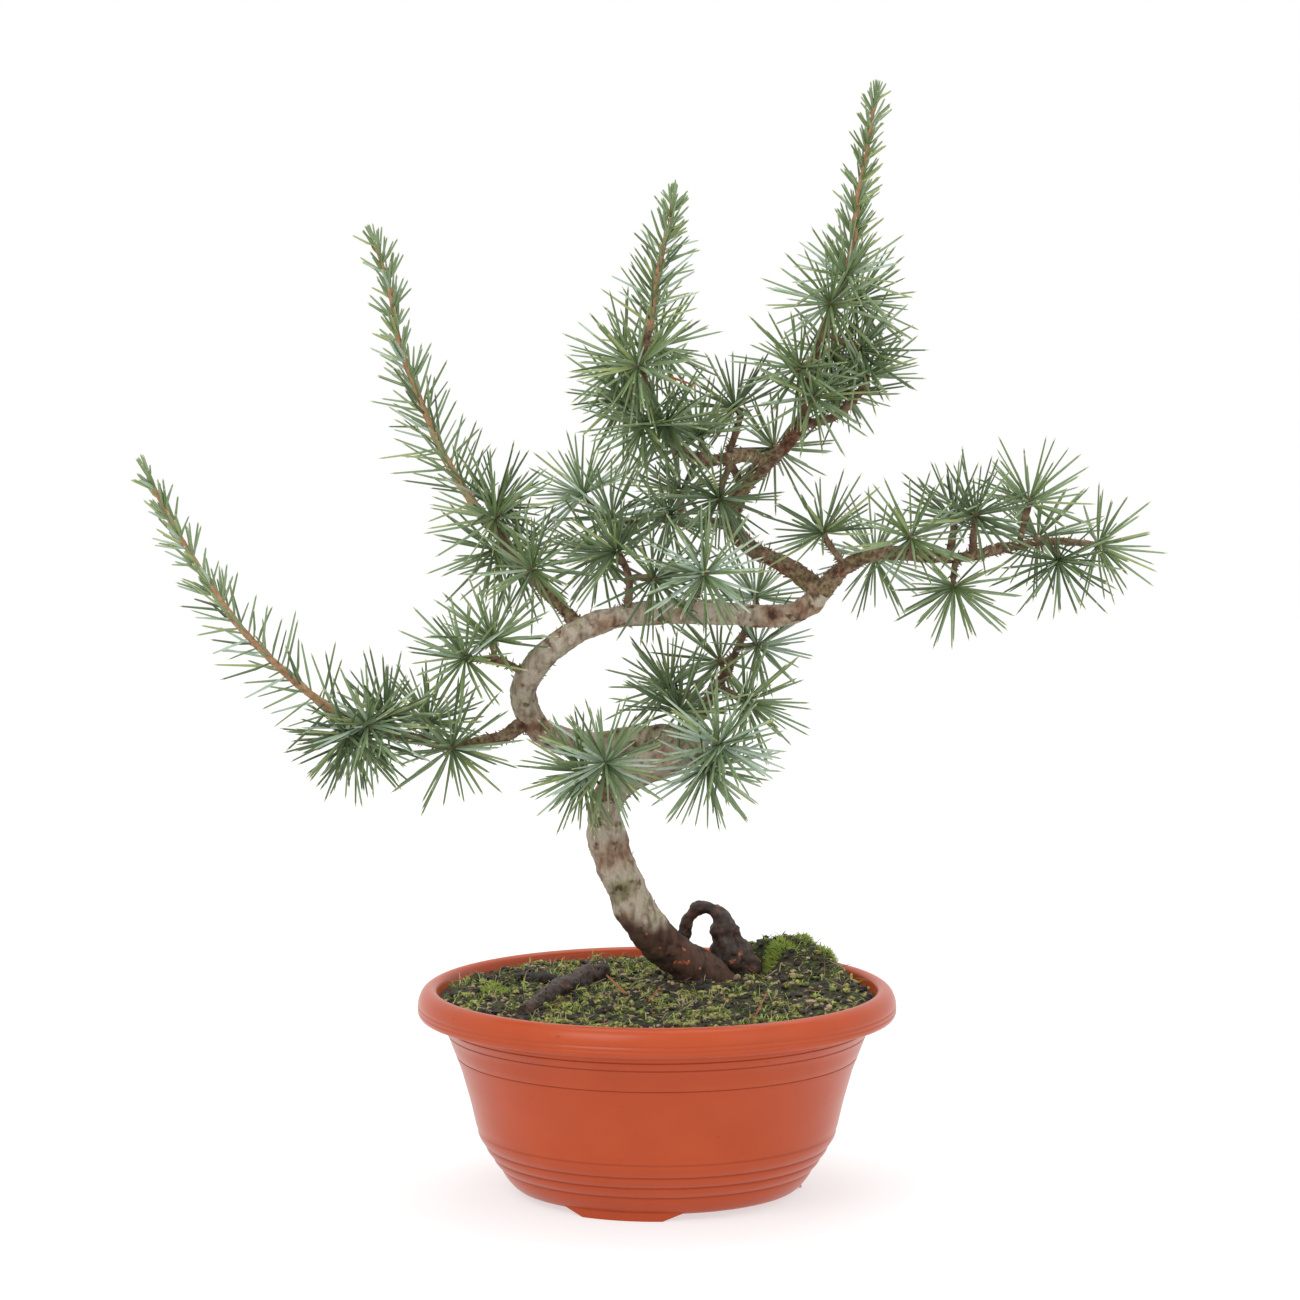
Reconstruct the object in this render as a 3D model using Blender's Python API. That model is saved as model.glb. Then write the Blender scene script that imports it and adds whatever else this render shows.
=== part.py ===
"""A small blue atlas cedar, trained as a wind-swept bonsai, in a round plastic pot.

The trunk leaves the soil at a low slant, folds back on itself behind the front rosette, bends
round again at the left and arches over to the fork, where the leader and the right bough part.
Every other bough leaves the trunk or the leader, and every mass of needles is one solid: a stem
that grows on from its bough, short spurs by a seeded rule, and needles fused into both.

Blender's units are metres. The sizes below are in millimetres and are scaled once, where a mesh
is made. X runs to the right, Y away from the front, Z up, and the origin lies on the floor in
the middle of the pot.
"""

import math
import random

import bmesh
import bpy
import numpy as np
from mathutils import Euler, Matrix, Vector

MM = 0.001
GAP = 0.3
MERGE = 2e-6
SEED = 11

# The pot: a turned body, four stepped bands at its foot, a rolled rim and three short feet.
POT_SEGMENTS = 40
FOOT_HEIGHT = 2.5
FOOT_RADII = (42.0, 52.0)
FOOT_ANGLES = (-104.0, 16.0, 136.0)
FOOT_HALF_WIDTH = (16.0, 25.0)
FOOT_STEPS = 4
BAND_HEIGHTS = (2.5, 9.2, 13.2, 17.3)
BAND_RADII = (51.4, 56.2, 59.0, 61.6)
BAND_BULGE = 0.55
BAND_LIP = 0.45
BODY = ((22.5, 64.3), (33.0, 66.7), (45.0, 70.1), (57.5, 74.9))
RIM = (
    (83.4, 62.9), (85.2, 64.2), (85.4, 66.4), (85.0, 69.3), (83.6, 72.3),
    (81.0, 74.0), (78.9, 73.0), (78.0, 70.5),
)
POT_WALL = 1.8
POT_FLOOR = 4.5

# The soil: level at the wall, heaped behind the knob, and flat under the tree's foot.
SOIL_SEGMENTS = 30
SOIL_RINGS = 8
SOIL_LEVEL = 70.2
SOIL_DOME = 1.2
HEAP_AT = (47.0, 38.0)
HEAP_HEIGHT = 13.5
HEAP_SPREAD = 23.0
HEAP_EDGE = 8.0
FOOT_LEVEL = 73.4
FOOT_AT = (20.0, 23.0)
FOOT_PAD = (20.0, 7.0)

# Trunk and roots. A limb is way points, then the radius at its start and its end.
TRUNK_SIDES = 10
TRUNK_RADII = (6.7, 3.7)
TRUNK_TAPER = 1.6
TRUNK_NECK = (0.55, 15.0)
TRUNK = (
    (29, 21, 68), (18, 18, 75), (9, 15, 80.5), (0, 11, 88.5), (-8, 7, 100), (-14, 5, 115),
    (-18.5, 5, 130), (-17, 5, 141), (-10, 2, 148.5), (1, -1, 153.5), (9, 0, 156.5),
    (13, 5, 159), (7, 11, 160.5), (-7, 13.5, 160), (-24, 14, 158), (-39, 10, 162),
    (-46, 6, 171), (-47, 2, 181), (-40, -2, 192), (-29, -3, 200), (-20, -2, 204),
    (-2, 2, 207), (22, 8, 206), (44, 10, 205), (54, 8, 209), (59, 6, 215),
)
KNOB = (
    (29.5, 31, 72), (27.5, 29.5, 80), (26, 28, 87), (23.5, 27, 94), (17, 27.5, 97),
    (12, 29, 93), (10, 31, 86), (9.5, 32, 79), (9.5, 33, 72),
)
KNOB_RADII = (6.4, 1.9)
LYING_ROOT = ((-20, 26), (-27, 17), (-37, -8), (-46, -43))
LYING_RADII = (4.3, 2.2)

# Boughs: carrier, way points, radius at the joint and at the end.
BOUGH_SIDES = 8
BOUGHS = {
    "leader": ("trunk", (
        (59, 6, 213), (51, 10, 220), (41, 14, 225), (31, 18, 231), (27, 20, 239),
        (30, 20, 249), (39, 18, 259), (48, 16, 268), (52, 16, 276)), 3.4, 2.4),
    "right_bough": ("trunk", (
        (59, 6, 215), (64, 2, 221), (71, -3, 226), (79, -6, 229), (92, -8, 228),
        (107, -6, 227), (121, -2, 230)), 2.9, 1.7),
    "upper_left_bough": ("leader", (
        (39, 18, 259), (32, 9, 262.5), (18, -2, 261), (8, -8, 265), (1, -12, 273)), 2.3, 2.0),
    "inner_left_bough": ("leader", (
        (27, 20, 238), (13, 26, 237), (-2, 30, 239), (-12, 31, 236)), 1.9, 1.5),
    "low_left_bough": ("trunk", (
        (-46, 6, 168), (-55, 4, 162), (-62, 2, 161), (-68, -1, 160)), 2.4, 2.1),
    "left_bough": ("trunk", (
        (-27, -3, 200), (-31, 1, 206), (-35, 4, 210), (-40, 8, 214)), 2.4, 2.1),
    "lower_right_bough": ("trunk", (
        (10, 9, 160), (11, 15, 164), (16, 22, 168), (20, 27, 175), (26, 31, 184)), 2.2, 1.7),
}

# Masses: carrier, stem, radii, rosettes as (place along the stem, side, stalk), then shoot
# needles as (number, longest, shortest). A carrier's name with + grows on from its end.
LEFT, RIGHT = Vector((-1, 0, 0)), Vector((1, 0, 0))
FRONT, BACK = Vector((0, -1, 0)), Vector((0, 1, 0))
UP, DOWN = Vector((0, 0, 1)), Vector((0, 0, -1))
MASSES = {
    "front_rosettes": ("trunk", ((-18, 5, 138), (-18, -8, 147), (-18, -20, 156)), 1.8, 1.2,
                       ((1.0, FRONT, 2), (0.86, LEFT, 8)), None),
    "left_spur": ("trunk", ((-46, 1, 185), (-56, -8, 191), (-66, -14, 192)), 1.6, 1.2,
                  ((1.0, LEFT + FRONT, 2), (0.53, UP, 7)), None),
    "low_left_rosettes": ("low_left_bough+", (
        (-68, -1, 160), (-73, -4, 160), (-86, -10, 164), (-96, -16, 167), (-109, -22, 173)), 2.0, 1.5,
        ((0.1, FRONT + 0.3 * RIGHT, 9), (0.32, UP + 0.6 * BACK, 7), (0.62, FRONT + UP, 8),
         (0.78, FRONT, 9), (0.86, DOWN + BACK, 8), (0.96, FRONT + 0.7 * DOWN, 7)), None),
    "low_left_shoot": ("low_left_rosettes+", (
        (-109, -22, 173), (-121, -27, 182), (-138, -33, 199), (-148, -37, 212)), 1.5, 1.2,
        (), (30, 21, 17)),
    "low_left_tip": ("low_left_shoot+", (
        (-148, -37, 212), (-160, -40, 232), (-169, -42, 249), (-173, -42, 257)), 1.2, 0.6,
        (), (26, 13, 9)),
    "left_rosettes": ("left_bough+", (
        (-40, 8, 214), (-52, 18, 228), (-65, 26, 243)), 2.0, 1.6,
        ((0.1, FRONT + 0.4 * UP, 11), (0.45, BACK, 10), (0.62, LEFT + BACK + 1.4 * DOWN, 6),
         (0.72, FRONT + 0.4 * UP, 9), (0.85, UP + RIGHT, 6)), None),
    "left_shoot": ("left_rosettes+", ((-65, 26, 243), (-76, 33, 260), (-85, 39, 280)), 1.6, 1.3,
                   (), (30, 22, 17)),
    "left_tip": ("left_shoot+", (
        (-85, 39, 280), (-92, 42, 299), (-96, 44, 320), (-101, 44, 336)), 1.3, 0.6,
        (), (34, 14, 9)),
    "upper_left_rosettes": ("upper_left_bough+", (
        (1, -12, 273), (-2, -14, 284), (-5, -15, 294), (-2, -14, 307)), 1.9, 1.4,
        ((0.05, FRONT + 0.5 * RIGHT, 8), (0.02, LEFT + FRONT + 0.3 * DOWN, 8), (0.3, BACK + LEFT, 10),
         (0.55, FRONT, 11), (0.7, LEFT, 6), (0.85, BACK + RIGHT, 8)), (8, 20, 18)),
    "upper_left_shoot": ("upper_left_rosettes+", (
        (-2, -14, 307), (0, -12, 321), (3, -10, 336)), 1.4, 1.0, (), (32, 19, 12)),
    "upper_left_tip": ("upper_left_shoot+", ((3, -10, 336), (5, -9, 343), (6, -8, 350)), 1.0, 0.6,
                       (), (14, 10, 8)),
    "upper_left_spur": ("upper_left_bough", ((17, -3, 262), (16, 1, 267)), 1.3, 1.2,
                        ((1.0, UP + 0.4 * LEFT, 3),), None),
    "drooping_spur": ("upper_left_bough", ((26, 4, 262), (24, 0, 254), (22, -2, 249)), 1.4, 1.1,
                      ((1.0, DOWN + FRONT, 2),), None),
    "leader_rosettes": ("leader+", (
        (52, 16, 276), (54, 15, 287), (57, 14, 300), (63, 12, 315), (66, 12, 323)), 2.2, 1.5,
        ((0.06, FRONT, 11), (0.38, LEFT + FRONT, 10), (0.48, BACK + 0.6 * RIGHT, 11),
         (0.6, RIGHT + 0.4 * DOWN, 14), (0.8, FRONT + 0.3 * LEFT, 9), (0.83, BACK + RIGHT, 11),
         (0.97, FRONT + UP, 5)), (8, 20, 18)),
    "leader_shoot": ("leader_rosettes+", (
        (66, 12, 323), (69, 10, 338), (70, 9, 351)), 1.4, 1.1, (), (22, 15, 10)),
    "leader_tip": ("leader_shoot+", ((70, 9, 351), (73, 8, 366), (76, 8, 386)), 1.1, 0.5,
                   (), (26, 10, 8)),
    "leader_back_spur": ("leader", ((42, 18, 262), (43, 30, 264)), 1.5, 1.2,
                         ((1.0, BACK, 3),), None),
    "leader_left_spur": ("leader", ((31, 20, 250), (26, 20, 260), (28, 15, 270), (30, 12, 277)), 1.5, 1.2,
                         ((1.0, UP + LEFT, 3),), None),
    "leader_right_spur": ("leader", (
        (51, 16, 272), (60, 17, 275), (66, 17, 277), (72, 18, 284), (75, 18, 288)), 1.7, 1.4,
        ((1.0, UP, 2), (0.6, BACK + UP, 7)), None),
    "inner_left_rosettes": ("inner_left_bough+", (
        (-12, 31, 236), (-18, 32, 240), (-24, 32, 246)), 1.5, 1.2,
        ((1.0, LEFT + UP, 2), (0.1, FRONT + 0.5 * UP, 9)), None),
    "inner_left_low_spur": ("inner_left_bough", ((-8, 30.5, 237), (-15, 27, 230), (-19, 25, 227)), 1.3, 1.1,
                            ((1.0, LEFT + DOWN, 2),), None),
    "inner_middle_spur": ("inner_left_bough", ((4, 28, 238), (4, 21, 241)), 1.3, 1.2,
                          ((1.0, FRONT, 3),), None),
    "inner_back_spur": ("inner_left_bough", ((8, 27.5, 238), (9, 34, 246)), 1.3, 1.2,
                        ((1.0, UP + BACK, 3),), None),
    "centre_twig": ("trunk", ((-11, 0, 205), (-10, -3, 214), (-10, -6, 222), (-13, -8, 228)), 1.6, 1.2,
                    ((1.0, UP + LEFT, 2), (0.55, RIGHT + FRONT, 12)), None),
    "centre_star": ("trunk", ((10, 5, 206), (15, -9, 217), (17, -17, 222)), 1.6, 1.2,
                    ((1.0, FRONT, 3),), None),
    "right_first": ("right_bough", ((67, 0, 223), (62, -5, 229), (59, -7, 234)), 1.4, 1.2,
                    ((1.0, UP + 0.3 * LEFT, 2),), None),
    "right_behind": ("right_bough", ((77, -5, 228.5), (77, 8, 226)), 1.4, 1.2,
                     ((1.0, BACK, 4),), None),
    "right_second": ("right_bough", ((90, -8, 228), (89, -13, 233)), 1.4, 1.2,
                     ((1.0, UP + FRONT, 3),), None),
    "right_third": ("right_bough", ((103, -7, 227), (104, -1, 234), (105, 3, 238)), 1.4, 1.2,
                    ((1.0, UP + BACK, 2),), None),
    "right_fourth": ("right_bough", ((111, -5, 228), (111, -10, 237), (111, -13, 241)), 1.4, 1.2,
                     ((1.0, UP + FRONT, 2),), None),
    "right_hanging": ("right_bough", ((105, -6, 227), (104, -10, 220)), 1.4, 1.2,
                      ((1.0, DOWN + 0.4 * FRONT, 3),), None),
    "right_end": ("right_bough+", ((121, -2, 230), (137, 2, 232), (153, 5, 231)), 1.7, 1.2,
                  ((0.2, UP + 0.4 * FRONT, 16), (0.45, BACK + 0.3 * UP, 11), (0.62, FRONT + DOWN, 8),
                   (1.0, RIGHT, 3)), None),
    "lower_right_first": ("lower_right_bough", ((13, 18, 166), (10, 12, 171), (8, 5, 171)), 1.4, 1.1,
                          ((1.0, FRONT + UP, 1),), None),
    "lower_right_second": ("lower_right_bough", ((18, 25, 172), (9, 20, 176), (5, 16, 178)), 1.4, 1.1,
                           ((1.0, LEFT + UP, 1),), None),
    "lower_right_third": ("lower_right_bough", ((22, 28, 178), (28, 20, 175), (31, 16, 174)), 1.4, 1.1,
                          ((1.0, RIGHT + FRONT, 1),), None),
    "lower_right_tip": ("lower_right_bough+", ((26, 31, 184), (31, 36, 195), (36, 38, 206)), 1.7, 1.3,
                        ((1.0, UP, 3), (0.35, FRONT + RIGHT, 9), (0.05, BACK + LEFT, 7)), None),
    "low_right_twig": ("trunk", ((12, 1, 156), (16, -13, 157), (22, -21, 162)), 1.6, 1.2,
                       ((1.0, FRONT + 0.4 * UP, 3), (0.5, DOWN + FRONT, 5)), None),
}

# Needles: three-sided points, drawn out of a rosette's core or sunk in a shoot.
NEEDLE_LENGTH = 24.0
NEEDLE_RADIUS = 1.1
NEEDLE_STRAY = 0.12
ROSETTE_SPREAD = math.radians(106)
SHOOT_LEAN = math.radians(48)
GOLDEN_ANGLE = math.radians(137.5)
CORE_RADIUS = 2.0
SPUR_RADIUS = 0.9
SPUR_CLEAR = 3.0
SPUR_TRIES = 8
NEEDLE_SHARE = 0.75
SPUR_LEAN = 0.25
STEM_SIDES = 6
STEM_STEP = 9.0

# Base colour, roughness and metallic value of each material.
FINISHES = {
    "pot plastic": ((0.50, 0.088, 0.028, 1), 0.45, 0.0),
    "soil": ((0.045, 0.033, 0.018, 1), 0.95, 0.0),
    "bark": ((0.30, 0.24, 0.18, 1), 0.85, 0.0),
    "root bark": ((0.062, 0.032, 0.020, 1), 0.8, 0.0),
    "needles": ((0.125, 0.22, 0.165, 1), 0.6, 0.0),
}


def material(name):
    """The named finish, made on first use."""
    found = bpy.data.materials.get(name)
    if found:
        return found
    colour, roughness, metallic = FINISHES[name]
    made = bpy.data.materials.new(name)
    made.use_nodes = True
    shader = made.node_tree.nodes["Principled BSDF"]
    shader.inputs["Base Color"].default_value = colour
    shader.inputs["Roughness"].default_value = roughness
    shader.inputs["Metallic"].default_value = metallic
    return made


def mesh_object(name, bm, finish=None, smooth_angle=None):
    """Turns a bmesh in millimetres into an object in metres under the plant's empty."""
    bmesh.ops.scale(bm, vec=(MM, MM, MM), verts=bm.verts)
    mesh = bpy.data.meshes.new(name)
    bm.to_mesh(mesh)
    bm.free()
    obj = bpy.data.objects.new(name, mesh)
    bpy.context.collection.objects.link(obj)
    if finish:
        mesh.materials.append(material(finish))
        obj.parent = plant
    if smooth_angle:
        mesh.shade_smooth()
        mesh.set_sharp_from_angle(angle=math.radians(smooth_angle))
    return obj


def smooth_path(points, step):
    """Even steps along the smooth curve through the way points, as an array."""
    way = [Vector(p) for p in points]
    way = [2 * way[0] - way[1], *way, 2 * way[-1] - way[-2]]
    fine = []
    for a, b, c, d in zip(way, way[1:], way[2:], way[3:]):
        for k in range(16):
            t = k / 16
            fine.append(0.5 * (2 * b + (c - a) * t + (2 * a - 5 * b + 4 * c - d) * t * t
                               + (3 * b - a - 3 * c + d) * t ** 3))
    fine = np.array([*fine, way[-2]])
    walked = np.concatenate([[0], np.cumsum(np.linalg.norm(np.diff(fine, axis=0), axis=1))])
    marks = np.linspace(0, walked[-1], max(2, round(walked[-1] / step) + 1))
    return np.stack([np.interp(marks, walked, fine[:, axis]) for axis in range(3)], axis=1)


def frames_along(path):
    """A pair of cross directions at each point, turned no more than the path itself."""
    tangents = np.gradient(path, axis=0)
    side = Vector(tangents[0]).orthogonal().normalized()
    pairs = []
    for t in tangents:
        t = Vector(t).normalized()
        side = (side - side.dot(t) * t).normalized()
        pairs.append((side, t.cross(side)))
    return pairs


def tube(path, radii, sides):
    """A closed tube with flat ends."""
    bm = bmesh.new()
    rings = []
    for point, (u, v), radius in zip(path, frames_along(path), map(float, radii)):
        turns = [math.tau * k / sides for k in range(sides)]
        rings.append([bm.verts.new(Vector(point) + radius * (math.cos(a) * u + math.sin(a) * v))
                      for a in turns])
    for low, high in zip(rings, rings[1:]):
        for k in range(sides):
            bm.faces.new((low[k], low[(k + 1) % sides], high[(k + 1) % sides], high[k]))
    bm.faces.new(rings[0][::-1])
    bm.faces.new(rings[-1])
    return bm


def lathe(profile, segments):
    """A closed turned body from a loop of (radius, height) that starts and ends on the axis."""
    bm = bmesh.new()
    rings = []
    for radius, height in profile:
        if radius == 0:
            rings.append([bm.verts.new((0, 0, height))])
            continue
        turns = [math.tau * k / segments for k in range(segments)]
        rings.append([bm.verts.new((radius * math.cos(a), radius * math.sin(a), height)) for a in turns])
    for low, high in zip(rings, rings[1:]):
        for k in range(segments):
            j = (k + 1) % segments
            corners = [low[k % len(low)], low[j % len(low)], high[j % len(high)], high[k % len(high)]]
            bm.faces.new(list(dict.fromkeys(corners)))
    return bm


def pot_outline():
    """The pot's outer (radius, height) points, from the edge of its base up to the rim."""
    points = []
    tops = (*BAND_HEIGHTS[1:], BODY[0][0])
    ends = (*BAND_RADII[1:], BODY[0][1])
    for low, high, inner, outer in zip(BAND_HEIGHTS, tops, BAND_RADII, ends):
        last = high == tops[-1]
        points.append((inner, low))
        points.append(((inner + outer) / 2 + BAND_BULGE, (low + high) / 2))
        if not last:
            points.append((outer - BAND_LIP, high - 0.3))
    points += [(radius, height) for height, radius in BODY]
    return points + list(RIM)


def inner_radius(height):
    """The radius of the pot's inner wall at a height."""
    heights, radii = zip(*((z, r - POT_WALL) for z, r in BODY), (RIM[-1][1], RIM[-1][0]))
    return float(np.interp(height, heights, radii)) - max(0.0, BODY[0][0] - height) * 0.62


def make_pot():
    inner = [(inner_radius(z), z) for z in (57.5, 33.0, 22.5, POT_FLOOR + 4.0)]
    outline = [(0, FOOT_HEIGHT), *pot_outline(), *inner,
               (inner_radius(POT_FLOOR) - 3.0, POT_FLOOR), (0, POT_FLOOR)]
    pot = mesh_object("pot", lathe(outline, POT_SEGMENTS), "pot plastic", 35)
    feet = [mesh_object(f"foot {angle:.0f}", foot(angle)) for angle in FOOT_ANGLES]
    fuse(pot, feet)


def foot(angle):
    """One foot: a short arc under the pot's edge, wider where it meets the base."""
    bm = bmesh.new()
    inner, outer = FOOT_RADII
    sections = []
    for k in range(FOOT_STEPS + 1):
        share = 2 * k / FOOT_STEPS - 1
        low, high = (math.radians(angle + share * half) for half in FOOT_HALF_WIDTH)
        top = FOOT_HEIGHT + 1.0
        corners = ((inner, low, 0), (outer, low, 0), (outer - 0.4, high, top), (inner, high, top))
        sections.append([bm.verts.new((r * math.cos(a), r * math.sin(a), z)) for r, a, z in corners])
    for one, two in zip(sections, sections[1:]):
        for k in range(4):
            bm.faces.new((one[k], one[(k + 1) % 4], two[(k + 1) % 4], two[k]))
    bm.faces.new(sections[0][::-1])
    bm.faces.new(sections[-1])
    bmesh.ops.recalc_face_normals(bm, faces=bm.faces)
    return bm


def smooth_step(value):
    value = min(1.0, max(0.0, value))
    return value * value * (3 - 2 * value)


def soil_height(x, y):
    """The soil's surface: a slight dome, the heap at the back right and the pad under the tree."""
    out = math.hypot(x, y)
    heap = math.hypot(x - HEAP_AT[0], y - HEAP_AT[1]) / HEAP_SPREAD
    edge = smooth_step((inner_radius(SOIL_LEVEL) - out) / HEAP_EDGE)
    height = SOIL_LEVEL + edge * (SOIL_DOME + HEAP_HEIGHT * math.exp(-heap * heap))
    from_foot = math.hypot(x - FOOT_AT[0], y - FOOT_AT[1])
    pad = smooth_step((FOOT_PAD[0] + FOOT_PAD[1] - from_foot) / FOOT_PAD[1])
    return height + pad * (FOOT_LEVEL - GAP - height)


def make_soil():
    edge = inner_radius(SOIL_LEVEL) - 2 * GAP
    top = [edge * (1 - k / SOIL_RINGS) for k in range(SOIL_RINGS)]
    wall = [(inner_radius(z) - 2 * GAP, z) for z in (22.5, 33.0, 57.5)]
    floor = POT_FLOOR + GAP
    profile = [(0, floor), (inner_radius(floor) - 4.0, floor), (inner_radius(floor + 4.0) - 1.2, floor + 4.0),
               *wall, *((radius, SOIL_LEVEL) for radius in top), (0, SOIL_LEVEL)]
    bm = lathe(profile, SOIL_SEGMENTS)
    for vert in bm.verts:
        if abs(vert.co.z - SOIL_LEVEL) < 0.01:
            vert.co.z = soil_height(vert.co.x, vert.co.y)
    return mesh_object("soil", bm, "soil", 40)


def fuse(target, others):
    """Joins the others to the target by one union, then keeps its outer skin alone."""
    group = bpy.data.collections.new("fusing")
    bpy.context.scene.collection.children.link(group)
    for obj in others:
        bpy.context.collection.objects.unlink(obj)
        group.objects.link(obj)
    union = target.modifiers.new("union", "BOOLEAN")
    union.operation = "UNION"
    union.operand_type = "COLLECTION"
    union.collection = group
    tries = [(solver, merge) for merge in (MERGE, MERGE / 10) for solver in ("EXACT", "MANIFOLD")]
    for solver, merge in tries:
        union.solver = solver
        graph = bpy.context.evaluated_depsgraph_get()
        joined = bpy.data.meshes.new_from_object(target.evaluated_get(graph))
        if keep_outer_skin(joined, merge):
            break
    target.modifiers.remove(union)
    old, name = target.data, target.data.name
    target.data = joined
    bpy.data.meshes.remove(old)
    joined.name = name
    for obj in others:
        mesh = obj.data
        bpy.data.objects.remove(obj)
        bpy.data.meshes.remove(mesh)
    bpy.data.collections.remove(group)


def keep_outer_skin(mesh, merge):
    """Drops sealed hollows and loose scraps. Says whether the rest is one closed skin."""
    bm = bmesh.new()
    bm.from_mesh(mesh)
    bmesh.ops.remove_doubles(bm, verts=bm.verts, dist=merge)
    bmesh.ops.dissolve_degenerate(bm, edges=bm.edges, dist=merge)
    left = set(bm.verts)
    shells = []
    while left:
        shell, edge = set(), [left.pop()]
        while edge:
            vert = edge.pop()
            shell.add(vert)
            for link in vert.link_edges:
                other = link.other_vert(vert)
                if other in left:
                    left.remove(other)
                    edge.append(other)
        shells.append(shell)
    largest = max(shells, key=len)
    bmesh.ops.delete(bm, geom=[v for v in bm.verts if v not in largest], context="VERTS")
    closed = all(edge.is_manifold for edge in bm.edges)
    bmesh.ops.triangulate(bm, faces=bm.faces)
    bm.to_mesh(mesh)
    bm.free()
    return closed


# What is already built, as round-ended rods (start, end, radius) under each node's name.
rods = {}


def add_rods(name, path, radii):
    for a, b, radius in zip(path, path[1:], radii):
        rods.setdefault(name, []).append((*a, *b, radius))


def clearance(a, b, radius, leave_out=()):
    """The least gap between the rod from a to b and every rod that is already there."""
    others = [rod for name, some in rods.items() if name not in leave_out for rod in some]
    if not others:
        return math.inf
    others = np.array(others)
    p1, d1 = np.array(a, float), np.array(b, float) - np.array(a, float)
    p2, d2 = others[:, :3], others[:, 3:6] - others[:, :3]
    r = p1 - p2
    aa, ee = d1 @ d1, np.maximum((d2 * d2).sum(1), 1e-9)
    bb, cc, ff = d2 @ d1, r @ d1, (d2 * r).sum(1)
    denominator = aa * ee - bb * bb
    s = np.clip(np.where(denominator > 1e-9, (bb * ff - cc * ee) / np.maximum(denominator, 1e-9), 0), 0, 1)
    t = np.clip((bb * s + ff) / ee, 0, 1)
    s = np.clip((bb * t - cc) / aa, 0, 1)
    apart = np.linalg.norm(r + s[:, None] * d1 - t[:, None] * d2, axis=1)
    return float((apart - others[:, 6]).min()) - radius


def start_clear(path, radius, carrier):
    """Cuts the path's start back until its flat end is clear of the carrier's surface."""
    around = frames_along(path)
    for k in range(len(path)):
        u, v = around[k]
        ring = [Vector(path[k]) + radius * (math.cos(a) * u + math.sin(a) * v)
                for a in (math.tau * j / 8 for j in range(8))]
        carried = np.array(rods[carrier])
        if min(rod_gap(point, carried) for point in [*ring, Vector(path[k])]) >= GAP:
            return path[k:]
    return path


def rod_gap(point, carried):
    start, along = carried[:, :3], carried[:, 3:6] - carried[:, :3]
    away = np.array(point) - start
    share = np.clip((away * along).sum(1) / (along * along).sum(1), 0, 1)
    return float((np.linalg.norm(away - share[:, None] * along, axis=1) - carried[:, 6]).min())


ends = {}


def limb_path(points, carrier, radius, step):
    """A limb's path from its joint: clear of its carrier's side, or just past its end."""
    fine = smooth_path(points, 0.25)
    if carrier.endswith("+"):
        end, along = ends[carrier[:-1]]
        fine = fine + (end - fine[0])
        u, v = frames_along(fine)[0]
        back = radius * math.hypot(u.dot(along), v.dot(along))
        fine = fine + (GAP + back) * np.array(along)
    elif carrier:
        fine = start_clear(fine, radius, carrier)
    walked = np.linspace(0, len(fine) - 1, max(2, round(len(fine) * 0.25 / step) + 1))
    return fine[np.round(walked).astype(int)]


def note_limb(name, path, radii):
    add_rods(name, path, radii)
    along = Vector(path[-1] - path[-2]).normalized()
    ends[name] = (path[-1], along)


def trunk_radii(path):
    """Widest just above the soil, narrower where the foot dives under, then a long taper."""
    share = np.linspace(0, 1, len(path))
    radii = TRUNK_RADII[1] + (TRUNK_RADII[0] - TRUNK_RADII[1]) * (1 - share) ** TRUNK_TAPER
    walked = np.concatenate([[0], np.cumsum(np.linalg.norm(np.diff(path, axis=0), axis=1))])
    thin, reach = TRUNK_NECK
    neck = np.array([smooth_step(w / reach) for w in walked])
    uneven = random.Random(SEED)
    knuckles = np.array([uneven.uniform(0.96, 1.04) for _ in path])
    return radii * (thin + (1 - thin) * neck) * knuckles


def cut_level(bm, height):
    """Cuts off what lies under a height and closes the cut with one flat face."""
    everything = [*bm.verts, *bm.edges, *bm.faces]
    cut = bmesh.ops.bisect_plane(bm, geom=everything, plane_co=(0, 0, height),
                                 plane_no=(0, 0, 1), clear_inner=True)
    edges = [item for item in cut["geom_cut"] if isinstance(item, bmesh.types.BMEdge)]
    bmesh.ops.contextual_create(bm, geom=edges)


def make_trunk():
    path = smooth_path(TRUNK, 6.0)
    radii = trunk_radii(path)
    bm = tube(path, radii, TRUNK_SIDES)
    cut_level(bm, FOOT_LEVEL)
    bmesh.ops.recalc_face_normals(bm, faces=bm.faces)
    note_limb("trunk", path, radii)
    return mesh_object("trunk", bm, "bark", 50)


def make_root_loop():
    """The knob beside the trunk's foot and the thin root that arches from it back to the soil."""
    path = smooth_path(KNOB, 4.0)
    share = np.linspace(0, 1, len(path))
    radii = KNOB_RADII[1] + (KNOB_RADII[0] - KNOB_RADII[1]) * np.clip(1 - share / 0.42, 0, 1) ** 0.8
    bm = tube(path, radii, BOUGH_SIDES)
    note_limb("root_loop", path, radii)
    everything = [*bm.verts, *bm.edges, *bm.faces]
    cut = bmesh.ops.bisect_plane(bm, geom=everything, plane_co=(0, 0, FOOT_LEVEL),
                                 plane_no=(0, 0, 1), clear_inner=True)
    edges = [item for item in cut["geom_cut"] if isinstance(item, bmesh.types.BMEdge)]
    bmesh.ops.edgenet_fill(bm, edges=edges)
    bmesh.ops.recalc_face_normals(bm, faces=bm.faces)
    return mesh_object("root_loop", bm, "root bark", 50)


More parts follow.
